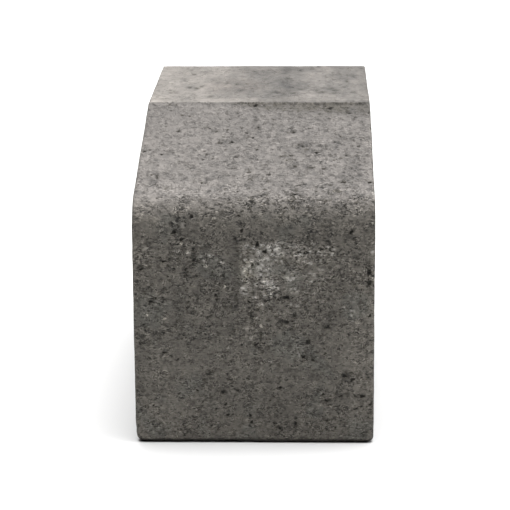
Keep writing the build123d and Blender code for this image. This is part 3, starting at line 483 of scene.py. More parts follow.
def build():
    rng = np.random.default_rng(20)
    stops = outline_stops()
    pos, pit_at, v_at, tris, parts = [], [], [], [], []
    start = 0

    # the strip that runs round the section: front, nose, slope, level top, rear, bed
    pits = Pits()
    for x, z, r, depth, stretch, ang in FRONT_PITS:
        y = YF if z <= ZN else CY - math.sqrt(RN ** 2 - (z - CZ) ** 2)
        pits.put(*on_strip(x, y, z), r, depth, stretch, ang, x)
    for x, y, r, depth, stretch, ang in SLOPE_PITS:
        pits.put(*on_strip(x, y, H + y * math.tan(SLOPE)), r, depth, stretch, ang, x)
    for x, v, ru, rv, k in TOP_MARKS:
        pits.put(x, v, math.sqrt(ru * rv) * 0.95, 0.55 * k, rv / ru, math.pi / 2 + 0.3 * math.sin(5 * x), x)
    for x, z, r in WHITE_GRAINS:
        pits.put(*on_strip(x, YF, z), 1.45 * r, -0.06, 1.2, x, z)

    def anywhere(g):
        return g.uniform(-XE + 3.0, XE - 3.0), g.uniform(3.0, V[6] - 3.0)

    def openness(u, v):
        if min(abs(v - k) for k in FOLDS) < 2.6:
            return 0.0
        y, z = section(np.array([v]))
        w = 0.12 + 0.88 * float(zone(np.array([[u, y[0], z[0]]]))[0])
        return w * (0.22 if V[3] < v < V[4] else 0.45 if v > V[5] else 0.55 if v < V[3] else 1.0)

    pits.scatter(rng, 470, anywhere, openness)
    base = []
    edges = [0.0, *FOLDS, V[6]]
    for (a, b), step in zip(zip(edges[:-1], edges[1:]), STEP.values()):
        rows = [a + g for g in GRADE] + list(np.linspace(a + GRADE[-1], b - GRADE[-1], round((b - a - 2 * GRADE[-1]) / (step * 0.88)) + 1)[1:-1]) + [b - g for g in reversed(GRADE)]
        xs = across(step)
        for k, v in enumerate(rows):
            x = np.concatenate([xs[:1], (xs[:-1] + xs[1:]) / 2, xs[-1:]]) if k % 2 else xs
            base.append(np.stack([x, np.full_like(x, v)], 1))
    for g, gap in zip(GRADE[:-1], (0.62, 0.78, 1.0)):
        last, keep = -9.0, []
        for v in stops:
            if v - last >= gap * (1.0 if v < V[4] else 1.6) and 0.3 < v < V[6] - 0.3:
                keep.append(v)
                last = v
        for x in (-XE + g, XE - g):
            base.append(np.stack([np.full(len(keep), x), keep], 1))
    # finer where the scuff is
    base = np.concatenate(base)
    base = base[~((np.abs(base[:, 0] - 14.0) < 22.0) & (np.abs(base[:, 1] - 72.0) < 17.0))]
    for k, v in enumerate(np.arange(55.2, 89.0, 0.50)):
        x = np.arange(-7.8 + (0.29 if k % 2 else 0.0), 36.0, 0.58)
        base = np.concatenate([base, np.stack([x, np.full_like(x, v)], 1)])
    base = pits.make_way(base)
    low, high = fold_row(0.0, STEP[5]), fold_row(V[6], STEP[5])
    loop = low + [(XE, v) for v in stops[1:]] + high[::-1] + [(-XE, v) for v in stops[:0:-1]]
    folds = [fold_row(FOLDS[0], 0.9), fold_row(FOLDS[1], 1.3), fold_row(FOLDS[2], 2.4)]
    inner = thin(np.concatenate([pits.rings(), base]), loop + sum(folds, []), 0.27)
    verts, faces = triangulate(loop, folds, inner)
    y, z = section(verts[:, 1])
    pos.append(np.stack([verts[:, 0], y, z], 1))
    pit_at.append(pits.depth(verts))
    v_at.append(verts[:, 1])
    tris.append(faces)
    parts.append(("strip", verts, faces))
    start += len(verts)

    # the two end faces, in (y, z)
    oy, oz = section(stops)
    outline = np.stack([oy, oz], 1)
    turn = under_top(oy, oz)[1]
    turn[stops > V[4] - 1e-9] = (1.0, 0.0)
    turn[stops > V[5] - 1e-9] = (0.0, -1.0)
    for side in (-1, 1):
        pits = Pits()

        def within(g):
            y, z = g.uniform(YF + 3, YR - 3), g.uniform(4.0, H - 3)
            return (y, z) if under_top(np.array([y]), np.array([z]))[0][0] > 3.2 else None

        pits.scatter(rng, 330, within, lambda y, z: 0.12 + 0.88 * float(zone(np.array([[side * XE, y, z]]))[0]))
        s = 1.9
        grid = [np.stack([np.arange(YF + (s / 2 if k % 2 else 0), YR, s), np.full(len(np.arange(YF + (s / 2 if k % 2 else 0), YR, s)), z)], 1)
                for k, z in enumerate(np.arange(0.5, H, s * 0.87))]
        grid = np.concatenate(grid)
        deep = np.minimum(under_top(grid[:, 0], grid[:, 1])[0], np.minimum(grid[:, 1], YR - grid[:, 0]))
        grid = grid[deep > GRADE[-1] + 0.75]
        graded = [(cy - math.copysign(g, cy), g if cz == 0 else cz - g) for cy, cz in ((YF, 0.0), (YR, 0.0), (YR, H)) for g in GRADE]
        for g, gap in zip(GRADE, (0.62, 0.82, 1.1, 1.5)):
            last = -9.0
            ring = outline - turn * g
            deep = np.minimum(under_top(ring[:, 0], ring[:, 1])[0], np.minimum(ring[:, 1], YR - ring[:, 0]))
            for j, v in enumerate(stops):
                if v - last >= gap * (1.0 if v < V[4] else 1.5) and deep[j] > g - 0.02:
                    graded.append(tuple(ring[j]))
                    last = v
        inner = np.concatenate([pits.rings(), pits.make_way(np.concatenate([np.array(graded), grid]))])
        inner = thin(inner, [tuple(p) for p in outline], 0.27)
        verts, faces = triangulate(outline, [], inner)
        pos.append(np.stack([np.full(len(verts), side * XE), verts[:, 0], verts[:, 1]], 1))
        pit_at.append(pits.depth(verts))
        v_at.append(np.full(len(verts), -999.0))
        if side < 0:
            faces = faces[:, ::-1]
        tris.append(faces + start)
        parts.append(("left" if side < 0 else "right", verts, faces))
        start += len(verts)

    P, pit, along, F = np.concatenate(pos), np.concatenate(pit_at), np.concatenate(v_at), np.concatenate(tris)

    # flat layout for anything that wants one: millimetres on a 362 mm sheet
    m, sheet = 2.0, 362.0
    flat, grain = [], []
    for name, verts, faces in parts:
        if name == "strip":
            uv = verts[faces]                                  # (n, 3, 2) as (x, v)
            grain.append(np.stack([uv[..., 0], np.interp(uv[..., 1], V, W), 0 * uv[..., 0]], -1))
            mid = uv[:, :, 1].mean(1)
            out = np.empty_like(uv)
            k = mid < V[4]
            out[k] = np.stack([uv[k][..., 1] + m, uv[k][..., 0] + XE + m], -1)
            k = (mid >= V[4]) & (mid < V[5])
            out[k] = np.stack([uv[k][..., 0] + XE + 200 + 2 * m, uv[k][..., 1] - V[4] + 100 + 2 * m], -1)
            k = mid >= V[5]
            out[k] = np.stack([(uv[k][..., 1] - V[5]) * 0.6 + 200 + 2 * m, (uv[k][..., 0] + XE) * 0.6 + 227 + 3 * m], -1)
        else:
            uv = verts[faces]
            grain.append(np.stack([uv[..., 0], uv[..., 1], np.full(uv.shape[:2], -20.37 if name == "left" else 20.37)], -1))
            up = 100 + 2 * m if name == "left" else 227 + 3 * m
            out = np.stack([uv[..., 0] - YF + m if name == "right" else YR - uv[..., 0] + m, uv[..., 1] + up], -1)
        flat.append(out / sheet)
    flat = np.concatenate(flat)

    # weld the faces along their shared outline
    key = np.round(P * 500).astype(np.int64)
    _, first, back = np.unique(key, axis=0, return_index=True, return_inverse=True)
    back = back.reshape(-1)
    P, pit, along, F = P[first], pit[first], along[first], back[F]
    good = (F[:, 0] != F[:, 1]) & (F[:, 1] != F[:, 2]) & (F[:, 0] != F[:, 2])
    return P, pit, along, F[good], flat[good], np.concatenate(grain)[good]


def relief(P, pit):
    """The worn, weathered surface: arrises, slow waviness, the lip below the top's front edge, pits and bites."""
    S, n = rounded(P)
    d = 0.10 * noise3(S, 34.0, 41) + 0.06 * noise3(S, 13.0, 42) + 0.045 * noise3(S, 4.6, 43) + 0.04 * noise3(S, 2.3, 44)
    d = np.minimum(d, 0.12) - pit
    # a low step just below the line where slope and level top meet, growing to the right
    t = -S[:, 1] / math.cos(SLOPE)
    on = (S[:, 1] < 0.0) & (n[:, 2] > 0.3) & (S[:, 1] > NY)
    line = np.stack([S[:, 0], 0 * t, 0 * t], 1)
    wob = 0.55 * noise3(line, 9.0, 51) + 0.16 * noise3(line, 4.4, 52)
    rise = (0.50 * smooth(-22.0, 24.0, S[:, 0]) + 0.12) * np.clip(1 + 0.75 * wob, 0.1, 2.0) * (1 - 0.6 * smooth(38.0, 50.0, S[:, 0]))
    step = rise * smooth(0.0, 1.5 + 0.6 * wob, t) * (1 - smooth(3.0, 24.0, t))
    d -= np.where(on, step, 0.0)
    out = S + n * d[:, None]
    # bites
    rng = np.random.default_rng(77)
    bites = list(BITES)
    while len(bites) < 96:
        v = rng.uniform(0, V[6])
        y, z = section(np.array([v]))
        r = float(np.clip(0.5 + rng.exponential(0.35), 0.5, 1.8))
        ny, nz = under_top(y, z)[1][0]
        if v > V[5]:
            ny, nz = 0.0, -1.0
        elif v > V[4]:
            ny, nz = 1.0, 0.0
        off = r * rng.uniform(0.35, 0.6)
        side = rng.choice((-1, 1))
        bites.append((side * (XE + off * 0.7), y[0] + ny * off * 0.7, z[0] + nz * off * 0.7, r))
    for v in (V[4],) * 8 + (0.0,) * 5 + (V[5],) * 5:
        y, z = section(np.array([v]))
        r = float(rng.uniform(0.6, 1.5))
        bites.append((rng.uniform(-46, 46), y[0] + math.copysign(0.35 * r, y[0]), z[0] + (0.35 * r if z[0] > 50 else -0.35 * r), r))
    for x, y, z, r in bites:
        w = out - np.array([x, y, z])
        d2 = (w * w).sum(1)
        k = np.where(d2 < (r * 1.25) ** 2)[0]
        if not len(k):
            continue
        rr = r * (1 + 0.22 * noise3(out[k], 1.2, 61))
        wn = (w[k] * n[k]).sum(1)
        disc = wn ** 2 - d2[k] + rr ** 2
        push = np.where((disc > 0) & (d2[k] < rr ** 2), wn + np.sqrt(np.maximum(disc, 0)), 0)
        out[k] -= n[k] * np.clip(push, 0, 1.5)[:, None]
    out[:, 2] = np.maximum(out[:, 2], 0.0)
    return out, n


def marks(P, x, v):
    """Pale marks of the front face, dark marks of the front and the level top, crowds of specks (below 0 where it is calm), and broad shades, 1 where there are none."""
    pale, dark, crowd, shade = (np.zeros(len(P)) for _ in range(4))
    k = np.where((P[:, 1] < YF + 4.0) & (P[:, 2] < 100.0))[0]
    jx = P[k, 0] + 0.30 * noise3(P[k], 2.2, 71) + 0.22 * noise3(P[k], 1.1, 72)
    jz = P[k, 2] + 0.26 * noise3(P[k], 2.0, 73) + 0.18 * noise3(P[k], 1.1, 74)
    for marks_, out in ((PALE_MARKS, pale), (DARK_MARKS, dark)):
        for u, w, ru, rw, strength in marks_:
            r = np.hypot((jx - u) / max(ru, 0.55), (jz - w) / max(rw, 0.55))
            crisp = ru < 2.4 and rw < 2.4
            out[k] = np.maximum(out[k], strength * (1.22 * (1 - smooth(0.50, 1.18, r)) if crisp else 1 - smooth(0.30, 1.30, r)))
    # the wash ends sharply above and on its left
    wash = smooth(-6.7, -5.1, P[:, 0] + 0.8 * noise3(P, 3.0, 75)) * (1 - smooth(87.0, 88.4, P[:, 2] + 0.6 * noise3(P, 3.0, 76)))
    pale = np.where(P[:, 0] < -9.0, pale, pale * wash)
    # cream-coloured crumbs on the right arris where nose and slope meet
    pale = np.maximum(pale, 0.75 * (1 - smooth(0.5, 1.2, np.hypot((x - 50.0) / 1.4, (v - 109.0 + 1.2 * noise3(P, 2.0, 77)) / 3.4))) * smooth(-0.2, 0.3, noise3(P, 1.3, 78)))
    k = np.where(v > V[3])[0]
    jx = P[k, 0] + 0.7 * noise3(P[k], 2.4, 81)
    jv = v[k] + 1.6 * noise3(P[k], 4.0, 82)
    for u, w, ru, rw, strength in TOP_MARKS:
        dark[k] = np.maximum(dark[k], 0.95 * strength * (1 - smooth(0.3, 1.35, np.hypot((jx - u) / (1.6 * ru), (jv - w) / (1.6 * rw)))))
    k = np.where(v > 0)[0]
    jx = P[k, 0] + 0.5 * noise3(P[k], 2.4, 81) + 0.3 * noise3(P[k], 1.2, 82)
    jv = v[k] + 0.7 * noise3(P[k], 2.4, 83) + 0.3 * noise3(P[k], 1.2, 84)
    for u, w, ru, rw, much in CROWDS:
        crowd[k] = np.maximum(crowd[k], much * (1 - smooth(0.3, 1.35, np.hypot((jx - u) / ru, (jv - w) / rw))))
    for u, w, ru, rw, much in CALM:
        crowd[k] -= much * (1 - smooth(0.2, 1.3, np.hypot((jx - u) / ru, (jv - w) / rw)))
    for u, w, ru, rw, change in SHADES:
        shade += change * (1 - smooth(0.0, 1.45, np.hypot((x - u) / ru, (v - w) / rw)))
    return pale, dark, crowd, np.exp(shade)


P, pit, along, F, flat, grain = build()
S, N3 = relief(P, pit)
print("block mesh:", len(S), "points,", len(F), "triangles")

mesh = bpy.data.meshes.new("kerb_block")
mesh.from_pydata((S / 1000.0).tolist(), [], F.tolist())
uvl = mesh.uv_layers.new(name="OFBake")
uvl.data.foreach_set("uv", flat.reshape(-1))
pale, dark, crowd, shade = marks(S, P[:, 0], along)
for name, values in (("pore", pit), ("pale_mark", pale), ("dark_mark", dark), ("crowd", crowd), ("shade", shade)):
    mesh.attributes.new(name, "FLOAT", "POINT").data.foreach_set("value", values.astype(np.float32))
mesh.attributes.new("grain_at", "FLOAT_VECTOR", "CORNER").data.foreach_set("vector", grain.reshape(-1).astype(np.float32))
mesh.polygons.foreach_set("use_smooth", np.ones(len(F), bool))
mesh.update()
mesh.validate()
block = bpy.data.objects.new("kerb_block", mesh)
bpy.context.scene.collection.objects.link(block)
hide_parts("bullnose_kerb_sett")
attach(block, "root")


# ---- concrete --------------------------------------------------------------
class Graph:
    """Short names for building a node tree."""

    def __init__(self, material):
        material.use_nodes = True
        self.nt = material.node_tree
        self.nt.nodes.clear()

    def new(self, kind, sockets=None, **props):
        node = self.nt.nodes.new(kind)
        for k, v in props.items():
            setattr(node, k, v)
        for k, v in (sockets or {}).items():
            self.feed(node.inputs[k], v)
        return node

    def feed(self, socket, value):
        if isinstance(value, bpy.types.NodeSocket):
            self.nt.links.new(value, socket)
        else:
            socket.default_value = value

    def math(self, op, a, b=0.0, c=0.0, clamp=False):
        n = self.new("ShaderNodeMath", {0: a, 1: b, 2: c}, operation=op, use_clamp=clamp)
        return n.outputs[0]

    def add(self, *xs):
        out = xs[0]
        for x in xs[1:]:
            out = self.math("ADD", out, x)
        return out

    def mul(self, *xs):
        out = xs[0]
        for x in xs[1:]:
            out = self.math("MULTIPLY", out, x)
        return out

    def sub(self, a, b):
        return self.math("SUBTRACT", a, b)

    def inv(self, a):
        return self.math("SUBTRACT", 1.0, a)

    def ramp(self, x, lo, hi, a=0.0, b=1.0, kind="SMOOTHSTEP"):
        n = self.new("ShaderNodeMapRange", {0: x, 1: lo, 2: hi, 3: a, 4: b}, interpolation_type=kind, clamp=True)
        return n.outputs[0]

    def scale(self, v, s):
        return self.new("ShaderNodeVectorMath", {0: v, 1: s if isinstance(s, (tuple, list)) else (s, s, s)}, operation="MULTIPLY").outputs[0]

    def vadd(self, a, b):
        return self.new("ShaderNodeVectorMath", {0: a, 1: b}, operation="ADD").outputs[0]

    def noise(self, v, freq, detail=2.0, rough=0.5, lac=2.0, shift=0.0, out="Fac"):
        if shift:
            v = self.vadd(v, (shift, shift * 1.7, -shift * 0.6))
        n = self.new("ShaderNodeTexNoise", {"Vector": v, "Scale": freq, "Detail": detail, "Roughness": rough, "Lacunarity": lac}, noise_dimensions="3D")
        return n.outputs[out]

    def cells(self, v, freq, out="Distance", feature="F1", random=1.0):
        n = self.new("ShaderNodeTexVoronoi", {"Vector": v, "Scale": freq, "Randomness": random}, feature=feature, voronoi_dimensions="3D")
        return n.outputs[out]

    def blend(self, f, a, b):
        """Number a where f is 0, b where it is 1."""
        return self.add(self.mul(a, self.inv(f)), self.mul(b, f))

    def mix(self, f, a, b):
        n = self.new("ShaderNodeMix", data_type="RGBA", blend_type="MIX", clamp_factor=True)
        self.feed(n.inputs[0], f)
        self.feed(n.inputs[6], a)
        self.feed(n.inputs[7], b)
        return n.outputs[2]

    def gain(self, colour, k):
        """Colour times a number."""
        n = self.new("ShaderNodeVectorMath", {0: colour}, operation="SCALE")
        self.feed(n.inputs["Scale"], k)
        return n.outputs[0]


def concrete():
    mat = bpy.data.materials.new("charcoal_concrete")
    g = Graph(mat)
    P = g.scale(g.new("ShaderNodeTexCoord").outputs["Object"], 1000.0)          # millimetres
    X, Y, Z = g.new("ShaderNodeSeparateXYZ", {0: P}).outputs
    N = g.new("ShaderNodeNewGeometry").outputs["Normal"]
    Nz = g.new("ShaderNodeSeparateXYZ", {0: N}).outputs[2]

    def blob(cu, cv, ru, rv, u=X, v=Z, lo=0.45, hi=1.15):
        """1 inside an oval of a face, fading to 0 at its rim."""
        a = g.mul(g.sub(u, cu), 1.0 / ru)
        b = g.mul(g.sub(v, cv), 1.0 / rv)
        return g.ramp(g.math("SQRT", g.add(g.mul(a, a), g.mul(b, b))), lo, hi, 1.0, 0.0)

    def most(*xs):
        out = xs[0]
        for x in xs[1:]:
            out = g.math("MAXIMUM", out, x)
        return out

    def speckle(v, freq, biggest, power):
        """Separate spots: biggest is the largest radius as a share of a cell; most are much smaller."""
        n = g.new("ShaderNodeTexVoronoi", {"Vector": v, "Scale": freq}, feature="F1", voronoi_dimensions="3D")
        r = g.mul(g.math("POWER", g.new("ShaderNodeSeparateColor", {0: n.outputs["Color"]}).outputs[1], power), biggest)
        return g.ramp(g.sub(n.outputs["Distance"], r), -0.10, 0.03, 1.0, 0.0)

    # which face
    front = g.ramp(Y, -98.0, -96.5, 1.0, 0.0)
    level = g.mul(g.ramp(Y, -0.5, 0.6), g.ramp(Z, 124.0, 126.0))
    # painted light: faces turned upward are painted paler and cooler below
    up_facing_painted_light = g.ramp(Nz, 0.40, 0.95, kind="LINEAR")

    def given(name, out="Fac"):
        return g.new("ShaderNodeAttribute", attribute_name=name, attribute_type="GEOMETRY").outputs[out]

    drawn = given("grain_at", "Vector")
    warp = g.vadd(drawn, g.scale(g.vadd(g.noise(drawn, 0.40, 2.0, 0.5, shift=2.3, out="Color"), (-0.5, -0.5, -0.5)), 2.2))
    flat = g.scale(warp, (0.70, 1.05, 1.10))
    zone = g.ramp(g.noise(drawn, 0.125, 3.0, 0.60, shift=3.0), 0.44, 0.58)
    # fine detail comes in flecks and clusters, with close smooth paste between them
    busy = g.add(1.0, g.mul(g.sub(g.noise(g.scale(drawn, (0.8, 1.1, 1.0)), 0.36, 1.0, 0.5, shift=51.0), 0.5), 6.6), g.mul(g.sub(g.noise(drawn, 0.12, 1.0, 0.5, shift=53.0), 0.5), 3.0))
    busy = g.math("MINIMUM", g.math("MAXIMUM", g.add(busy, g.mul(given("crowd"), 0.35), g.mul(g.math("MINIMUM", given("crowd"), 0.0), 0.5)), 0.24), 2.4)
    # on the level top the clouds are longer from front to rear than across
    cloudy = g.vadd(drawn, g.new("ShaderNodeCombineXYZ", {1: g.mul(Y, level, -0.28)}).outputs[0])

    # grain, from sand size to clouds
    # the finest are short dashes, level in some places and upright in others
    lie = g.ramp(g.noise(drawn, 0.20, 1.0, 0.5, shift=57.0), 0.50, 0.60)
    f1 = g.blend(lie, g.noise(g.scale(drawn, (0.52, 1.25, 1.0)), 1.9, 1.0, 0.5, shift=11.0), g.noise(g.scale(drawn, (1.2, 0.56, 1.0)), 1.9, 1.0, 0.5, shift=15.0))
    f1 = g.sub(f1, 0.5)
    f2 = g.sub(g.noise(g.scale(warp, (0.62, 1.1, 1.1)), 1.05, 1.0, 0.5, shift=13.0), 0.5)
    def peaky(f, c):
        """The same spread, but flatter most of the way, with rarer and stronger peaks and dips."""
        return g.mul(f, g.add(0.45, g.mul(g.math("ABSOLUTE", f), c)))

    f1, f2 = peaky(f1, 3.6), peaky(f2, 3.8)
    f3 = g.sub(g.noise(flat, 0.60, 1.0, 0.5, shift=7.0), 0.5)
    f4 = g.sub(g.noise(warp, 0.33, 1.0, 0.5, shift=19.0), 0.5)
    soft = g.sub(g.noise(cloudy, 0.30, 1.0, 0.5, shift=93.0), 0.5)
    f5 = g.sub(g.noise(cloudy, 0.17, 1.0, 0.5, shift=5.0), 0.5)
    f6 = g.sub(g.noise(cloudy, 0.075, 1.0, 0.5, shift=9.0), 0.5)

    # pores, more of them where the mix is open, and light grains
    crowd = given("crowd")
    lean = g.add(g.mul(g.sub(zone, 0.5), 0.045), g.mul(crowd, 0.062))
    d1 = g.ramp(g.add(g.noise(flat, 0.85, 3.0, 0.6, shift=17.0), lean), 0.596, 0.645)
    d2 = g.ramp(g.add(g.noise(drawn, 1.9, 2.0, 0.6, shift=23.0), lean), 0.605, 0.660)
    d3 = g.ramp(g.add(g.noise(warp, 0.42, 4.0, 0.65, 2.1, shift=29.0), lean), 0.622, 0.655)
    # single round-about ones, each with a size of its own
    frayed = g.vadd(drawn, g.scale(g.vadd(g.noise(drawn, 1.7, 1.0, 0.5, shift=61.0, out="Color"), (-0.5, -0.5, -0.5)), 1.1))
    d4 = speckle(frayed, 0.52, 0.56, 2.0)
    d5 = speckle(g.vadd(frayed, (5.3, 2.1, 7.7)), 0.95, 0.40, 1.6)
    g3 = speckle(g.vadd(frayed, (1.3, 8.1, 3.7)), 0.80, 0.34, 2.2)
    # painted shade in the mesh's pits, darker the deeper the pit
    painted_pit_shade = g.ramp(given("pore"), 0.03, 0.42)
    white = g.ramp(given("pore"), -0.045, -0.012, 1.0, 0.0)
    pores = most(d1, g.mul(d2, 0.7), d3, d4, d5)
    g1 = g.ramp(g.noise(flat, 1.05, 2.0, 0.5, shift=31.0), 0.620, 0.690)
    g2 = g.ramp(g.noise(drawn, 2.0, 1.0, 0.5, shift=37.0), 0.640, 0.740)

    def stroke(shift):
        """Short curved hairline marks, here and there."""
        n = g.noise(g.scale(warp, (0.66, 1.25, 1.0)), 0.42, 2.0, 0.5, shift=shift)
        here = g.ramp(g.noise(drawn, 0.52, 1.0, 0.5, shift=shift + 4.0), 0.575, 0.635)
        return g.mul(g.ramp(g.math("ABSOLUTE", g.sub(n, 0.5)), 0.012, 0.042, 1.0, 0.0), here)

    dark_stroke, pale_stroke = stroke(67.0), stroke(83.0)

    # how strongly the grain shows: least on the level top, more down the slope and to the right, most on the nose and below it
    along = g.ramp(g.add(g.mul(Y, -0.010), g.mul(X, 0.0055)), 0.1, 1.15, 0.62, 1.10, kind="LINEAR")
    strong = g.blend(g.ramp(Nz, 0.80, 0.96, kind="LINEAR"), g.ramp(Z, 30.0, 75.0, 0.80, 1.0), along)
    strong = g.mul(strong, g.inv(g.mul(level, 0.45)))
    slope = g.mul(g.ramp(Nz, 0.55, 0.92), g.ramp(Z, 102.0, 108.0), g.inv(level))

    def weight(on_slope, on_top):
        return g.inv(g.add(g.mul(slope, 1.0 - on_slope), g.mul(level, 1.0 - on_top)))

    across = g.add(1.0, g.mul(slope, g.ramp(X, -50.0, 50.0, -0.16, 0.12, kind="LINEAR")))
    fine = g.mul(busy, weight(0.28, 0.34))
    mid = g.mul(g.math("SQRT", busy), weight(0.60, 0.46))
    spots = g.mul(weight(0.50, 1.15), g.add(1.0, g.mul(crowd, 1.0)))
    loose = g.mul(strong, g.ramp(zone, 0.0, 1.0, 0.80, 1.10, kind="LINEAR"))
    grain = g.mul(g.add(g.mul(fine, g.add(g.mul(f1, 2.62), g.mul(g2, 0.50))), g.mul(mid, g.add(g.mul(f2, 1.95), g.mul(g1, 0.46), g.mul(g3, 0.52), g.mul(pale_stroke, 0.32))),
                        g.mul(f3, 1.18, weight(0.90, 0.65)), -0.02), loose)
    grain = g.add(grain, g.mul(g.add(g.mul(soft, level, 0.60), g.mul(f4, 0.67, weight(1.52, 0.58), across), g.mul(f5, 0.52, weight(1.25, 1.1), across), g.mul(f6, 0.30, weight(1.0, 1.6))), strong))
    grain = g.math("MAXIMUM", g.add(1.0, grain), 0.2)
    strewn = g.math("MINIMUM", g.mul(strong, mid), 1.25)
    dark = g.mul(g.inv(g.mul(d2, 0.34, strewn)), g.inv(g.mul(d5, 0.46, strewn)), g.inv(g.mul(dark_stroke, 0.46, strewn, weight(0.35, 0.3))))
    steady = g.mul(strong, spots)
    dark = g.mul(dark, g.inv(g.mul(d1, 0.44, steady)), g.inv(g.mul(d3, 0.42, steady)), g.inv(g.mul(d4, 0.34, steady)))
    # painted shade and dirt in the broken edge just below the level top, more of it to the right
    reach = g.add(Y, g.mul(f4, 4.0), g.mul(f5, 8.0))
    painted_shade_and_dirt_under_edge = most(g.mul(g.ramp(g.add(reach, g.ramp(X, -8.0, 14.0, 0.0, 4.5)), -6.0, -1.0), g.ramp(X, 34.0, 48.0, 1.0, 0.72)), g.mul(g.ramp(reach, -20.0, -3.0), g.ramp(X, 6.0, 26.0, 0.10, 0.80)), g.mul(g.ramp(reach, -12.0, -4.0), blob(3.0, -6.0, 9.0, 12.0, v=Y), 0.7))
    painted_shade_and_dirt_under_edge = g.mul(painted_shade_and_dirt_under_edge, g.ramp(Y, -0.4, 0.3, 1.0, 0.0), g.ramp(X, -34.0, 8.0, 0.08, 0.88))
    painted_shade_and_dirt_under_edge = g.mul(painted_shade_and_dirt_under_edge, g.ramp(g.add(g.noise(warp, 0.14, 3.0, 0.6, shift=47.0), g.ramp(X, -20.0, 48.0, 0.0, 0.07)), 0.40, 0.58, 0.55, 1.0), slope)
    # painted contact shadow round the foot, darkest about 1.2 mm up and paler again at the very bottom
    painted_foot_shadow = most(g.ramp(g.add(Z, g.mul(f4, 0.7)), 1.15, 2.25, 0.20, 1.0), g.ramp(Z, 0.35, 0.95, 1.0, 0.0))
    # darkened here by the painted shade below the level top's edge and the painted contact shadow at the foot; the band
    # 2 to 5.5 mm up is painted a little lighter, painted light on the lower arris
    dark = g.mul(dark, g.inv(g.mul(painted_shade_and_dirt_under_edge, 0.54)), painted_foot_shadow, g.ramp(Z, 2.0, 5.5, 1.13, 1.0))

    dark = g.mul(dark, g.inv(g.mul(g.math("MAXIMUM", crowd, 0.0), slope, 0.15)))

    # marks on the front face: the pale scuff with its speckle, and soft dark blotches
    marked_darker = given("dark_mark")
    speck = g.noise(g.scale(warp, (0.46, 1.1, 1.0)), 1.05, 3.0, 0.62, shift=41.0)
    scuffed = g.mul(given("pale_mark"), g.ramp(speck, 0.42, 0.62, 0.74, 1.22))
    # the mesh's pits get their painted shade here, less of it on the slope, and the dark marks darken too
    dark = g.mul(dark, g.inv(g.mul(painted_pit_shade, g.ramp(slope, 0.0, 1.0, 0.80, 0.42))), g.inv(g.mul(marked_darker, g.ramp(g.add(f2, f3), -0.12, 0.20, 0.95, 0.55))))

    # tone of the faces, partly painted light: the upward ones painted paler than the front, the level top palest and
    # clouded
    tone_with_painted_light = g.ramp(up_facing_painted_light, 0.0, 1.0, 0.107, 0.166, kind="LINEAR")
    cloud = g.noise(g.scale(cloudy, (0.75, 1.0, 1.0)), 0.085, 3.0, 0.55, shift=43.0)
    top = g.add(g.ramp(X, -50.0, 8.0, 1.36, 0.74), g.ramp(X, 10.0, 46.0, 0.0, 0.12), g.mul(g.sub(cloud, 0.5), 0.9), g.mul(soft, 0.30), g.mul(f4, 0.15), g.mul(f5, 0.65), g.mul(f6, 0.5),
                g.mul(g.ramp(g.add(Y, g.mul(f5, 12.0), g.ramp(X, 4.0, 24.0, 0.0, -12.0)), 5.0, 12.0, 1.0, 0.0), g.ramp(X, -46.0, 10.0, 0.10, 0.27)))
    stain = g.mul(most(blob(-12.0, 42.0, 17.0, 24.0, v=Y), g.mul(blob(-1.0, 83.0, 16.0, 12.0, v=Y), 0.5), g.mul(blob(26.0, 92.0, 20.0, 5.0, v=Y), 0.7)), level)
    top = g.mul(top, g.inv(g.mul(g.ramp(g.add(Y, g.mul(f4, 5.0)), 1.0, 6.0, 0.25, 0.0), g.ramp(X, -4.0, 16.0))), g.inv(g.mul(stain, 0.10)), g.inv(g.mul(blob(11.0, 60.0, 10.0, 55.0, v=Y, lo=0.2), 0.13)))
    tone_with_painted_light = g.mul(tone_with_painted_light, g.add(g.inv(level), g.mul(level, top)), given("shade"))
    value = g.mul(tone_with_painted_light, grain, dark, g.add(1.0, g.mul(scuffed, 2.35), g.mul(white, 2.3)))
    value = g.math("MAXIMUM", value, 0.010)

    # hue: warm grey, painted a shade cooler on the upward faces with their painted light, browner again on the level
    # top
    hue = g.mix(up_facing_painted_light, (1.080, 0.990, 0.850, 1.0), (1.072, 0.990, 0.918, 1.0))
    hue = g.mix(level, hue, (1.084, 0.990, 0.888, 1.0))
    hue = g.mix(g.mul(stain, 0.8), hue, (1.12, 0.985, 0.87, 1.0))
    hue = g.mix(g.mul(g.ramp(g.noise(drawn, 0.055, 2.0, 0.5, shift=89.0), 0.54, 0.64, 0.0, 0.60), front), hue, (1.025, 1.000, 0.880, 1.0))
    hue = g.mix(g.mul(scuffed, 1.1), hue, (1.045, 1.000, 0.925, 1.0))
    hue = g.mix(g.ramp(dark, 0.9, 0.4, 0.0, 0.7), hue, (1.115, 1.000, 0.800, 1.0))
    hue = g.mix(g.mul(level, g.ramp(grain, 1.0, 0.8, 0.0, 0.8)), hue, (1.085, 0.992, 0.890, 1.0))
    hue = g.mix(g.mul(front, blob(-3.0, 75.5, 6.0, 6.0, lo=0.1), 0.22), hue, (1.12, 1.03, 0.72, 1.0))
    colour = g.gain(hue, value)

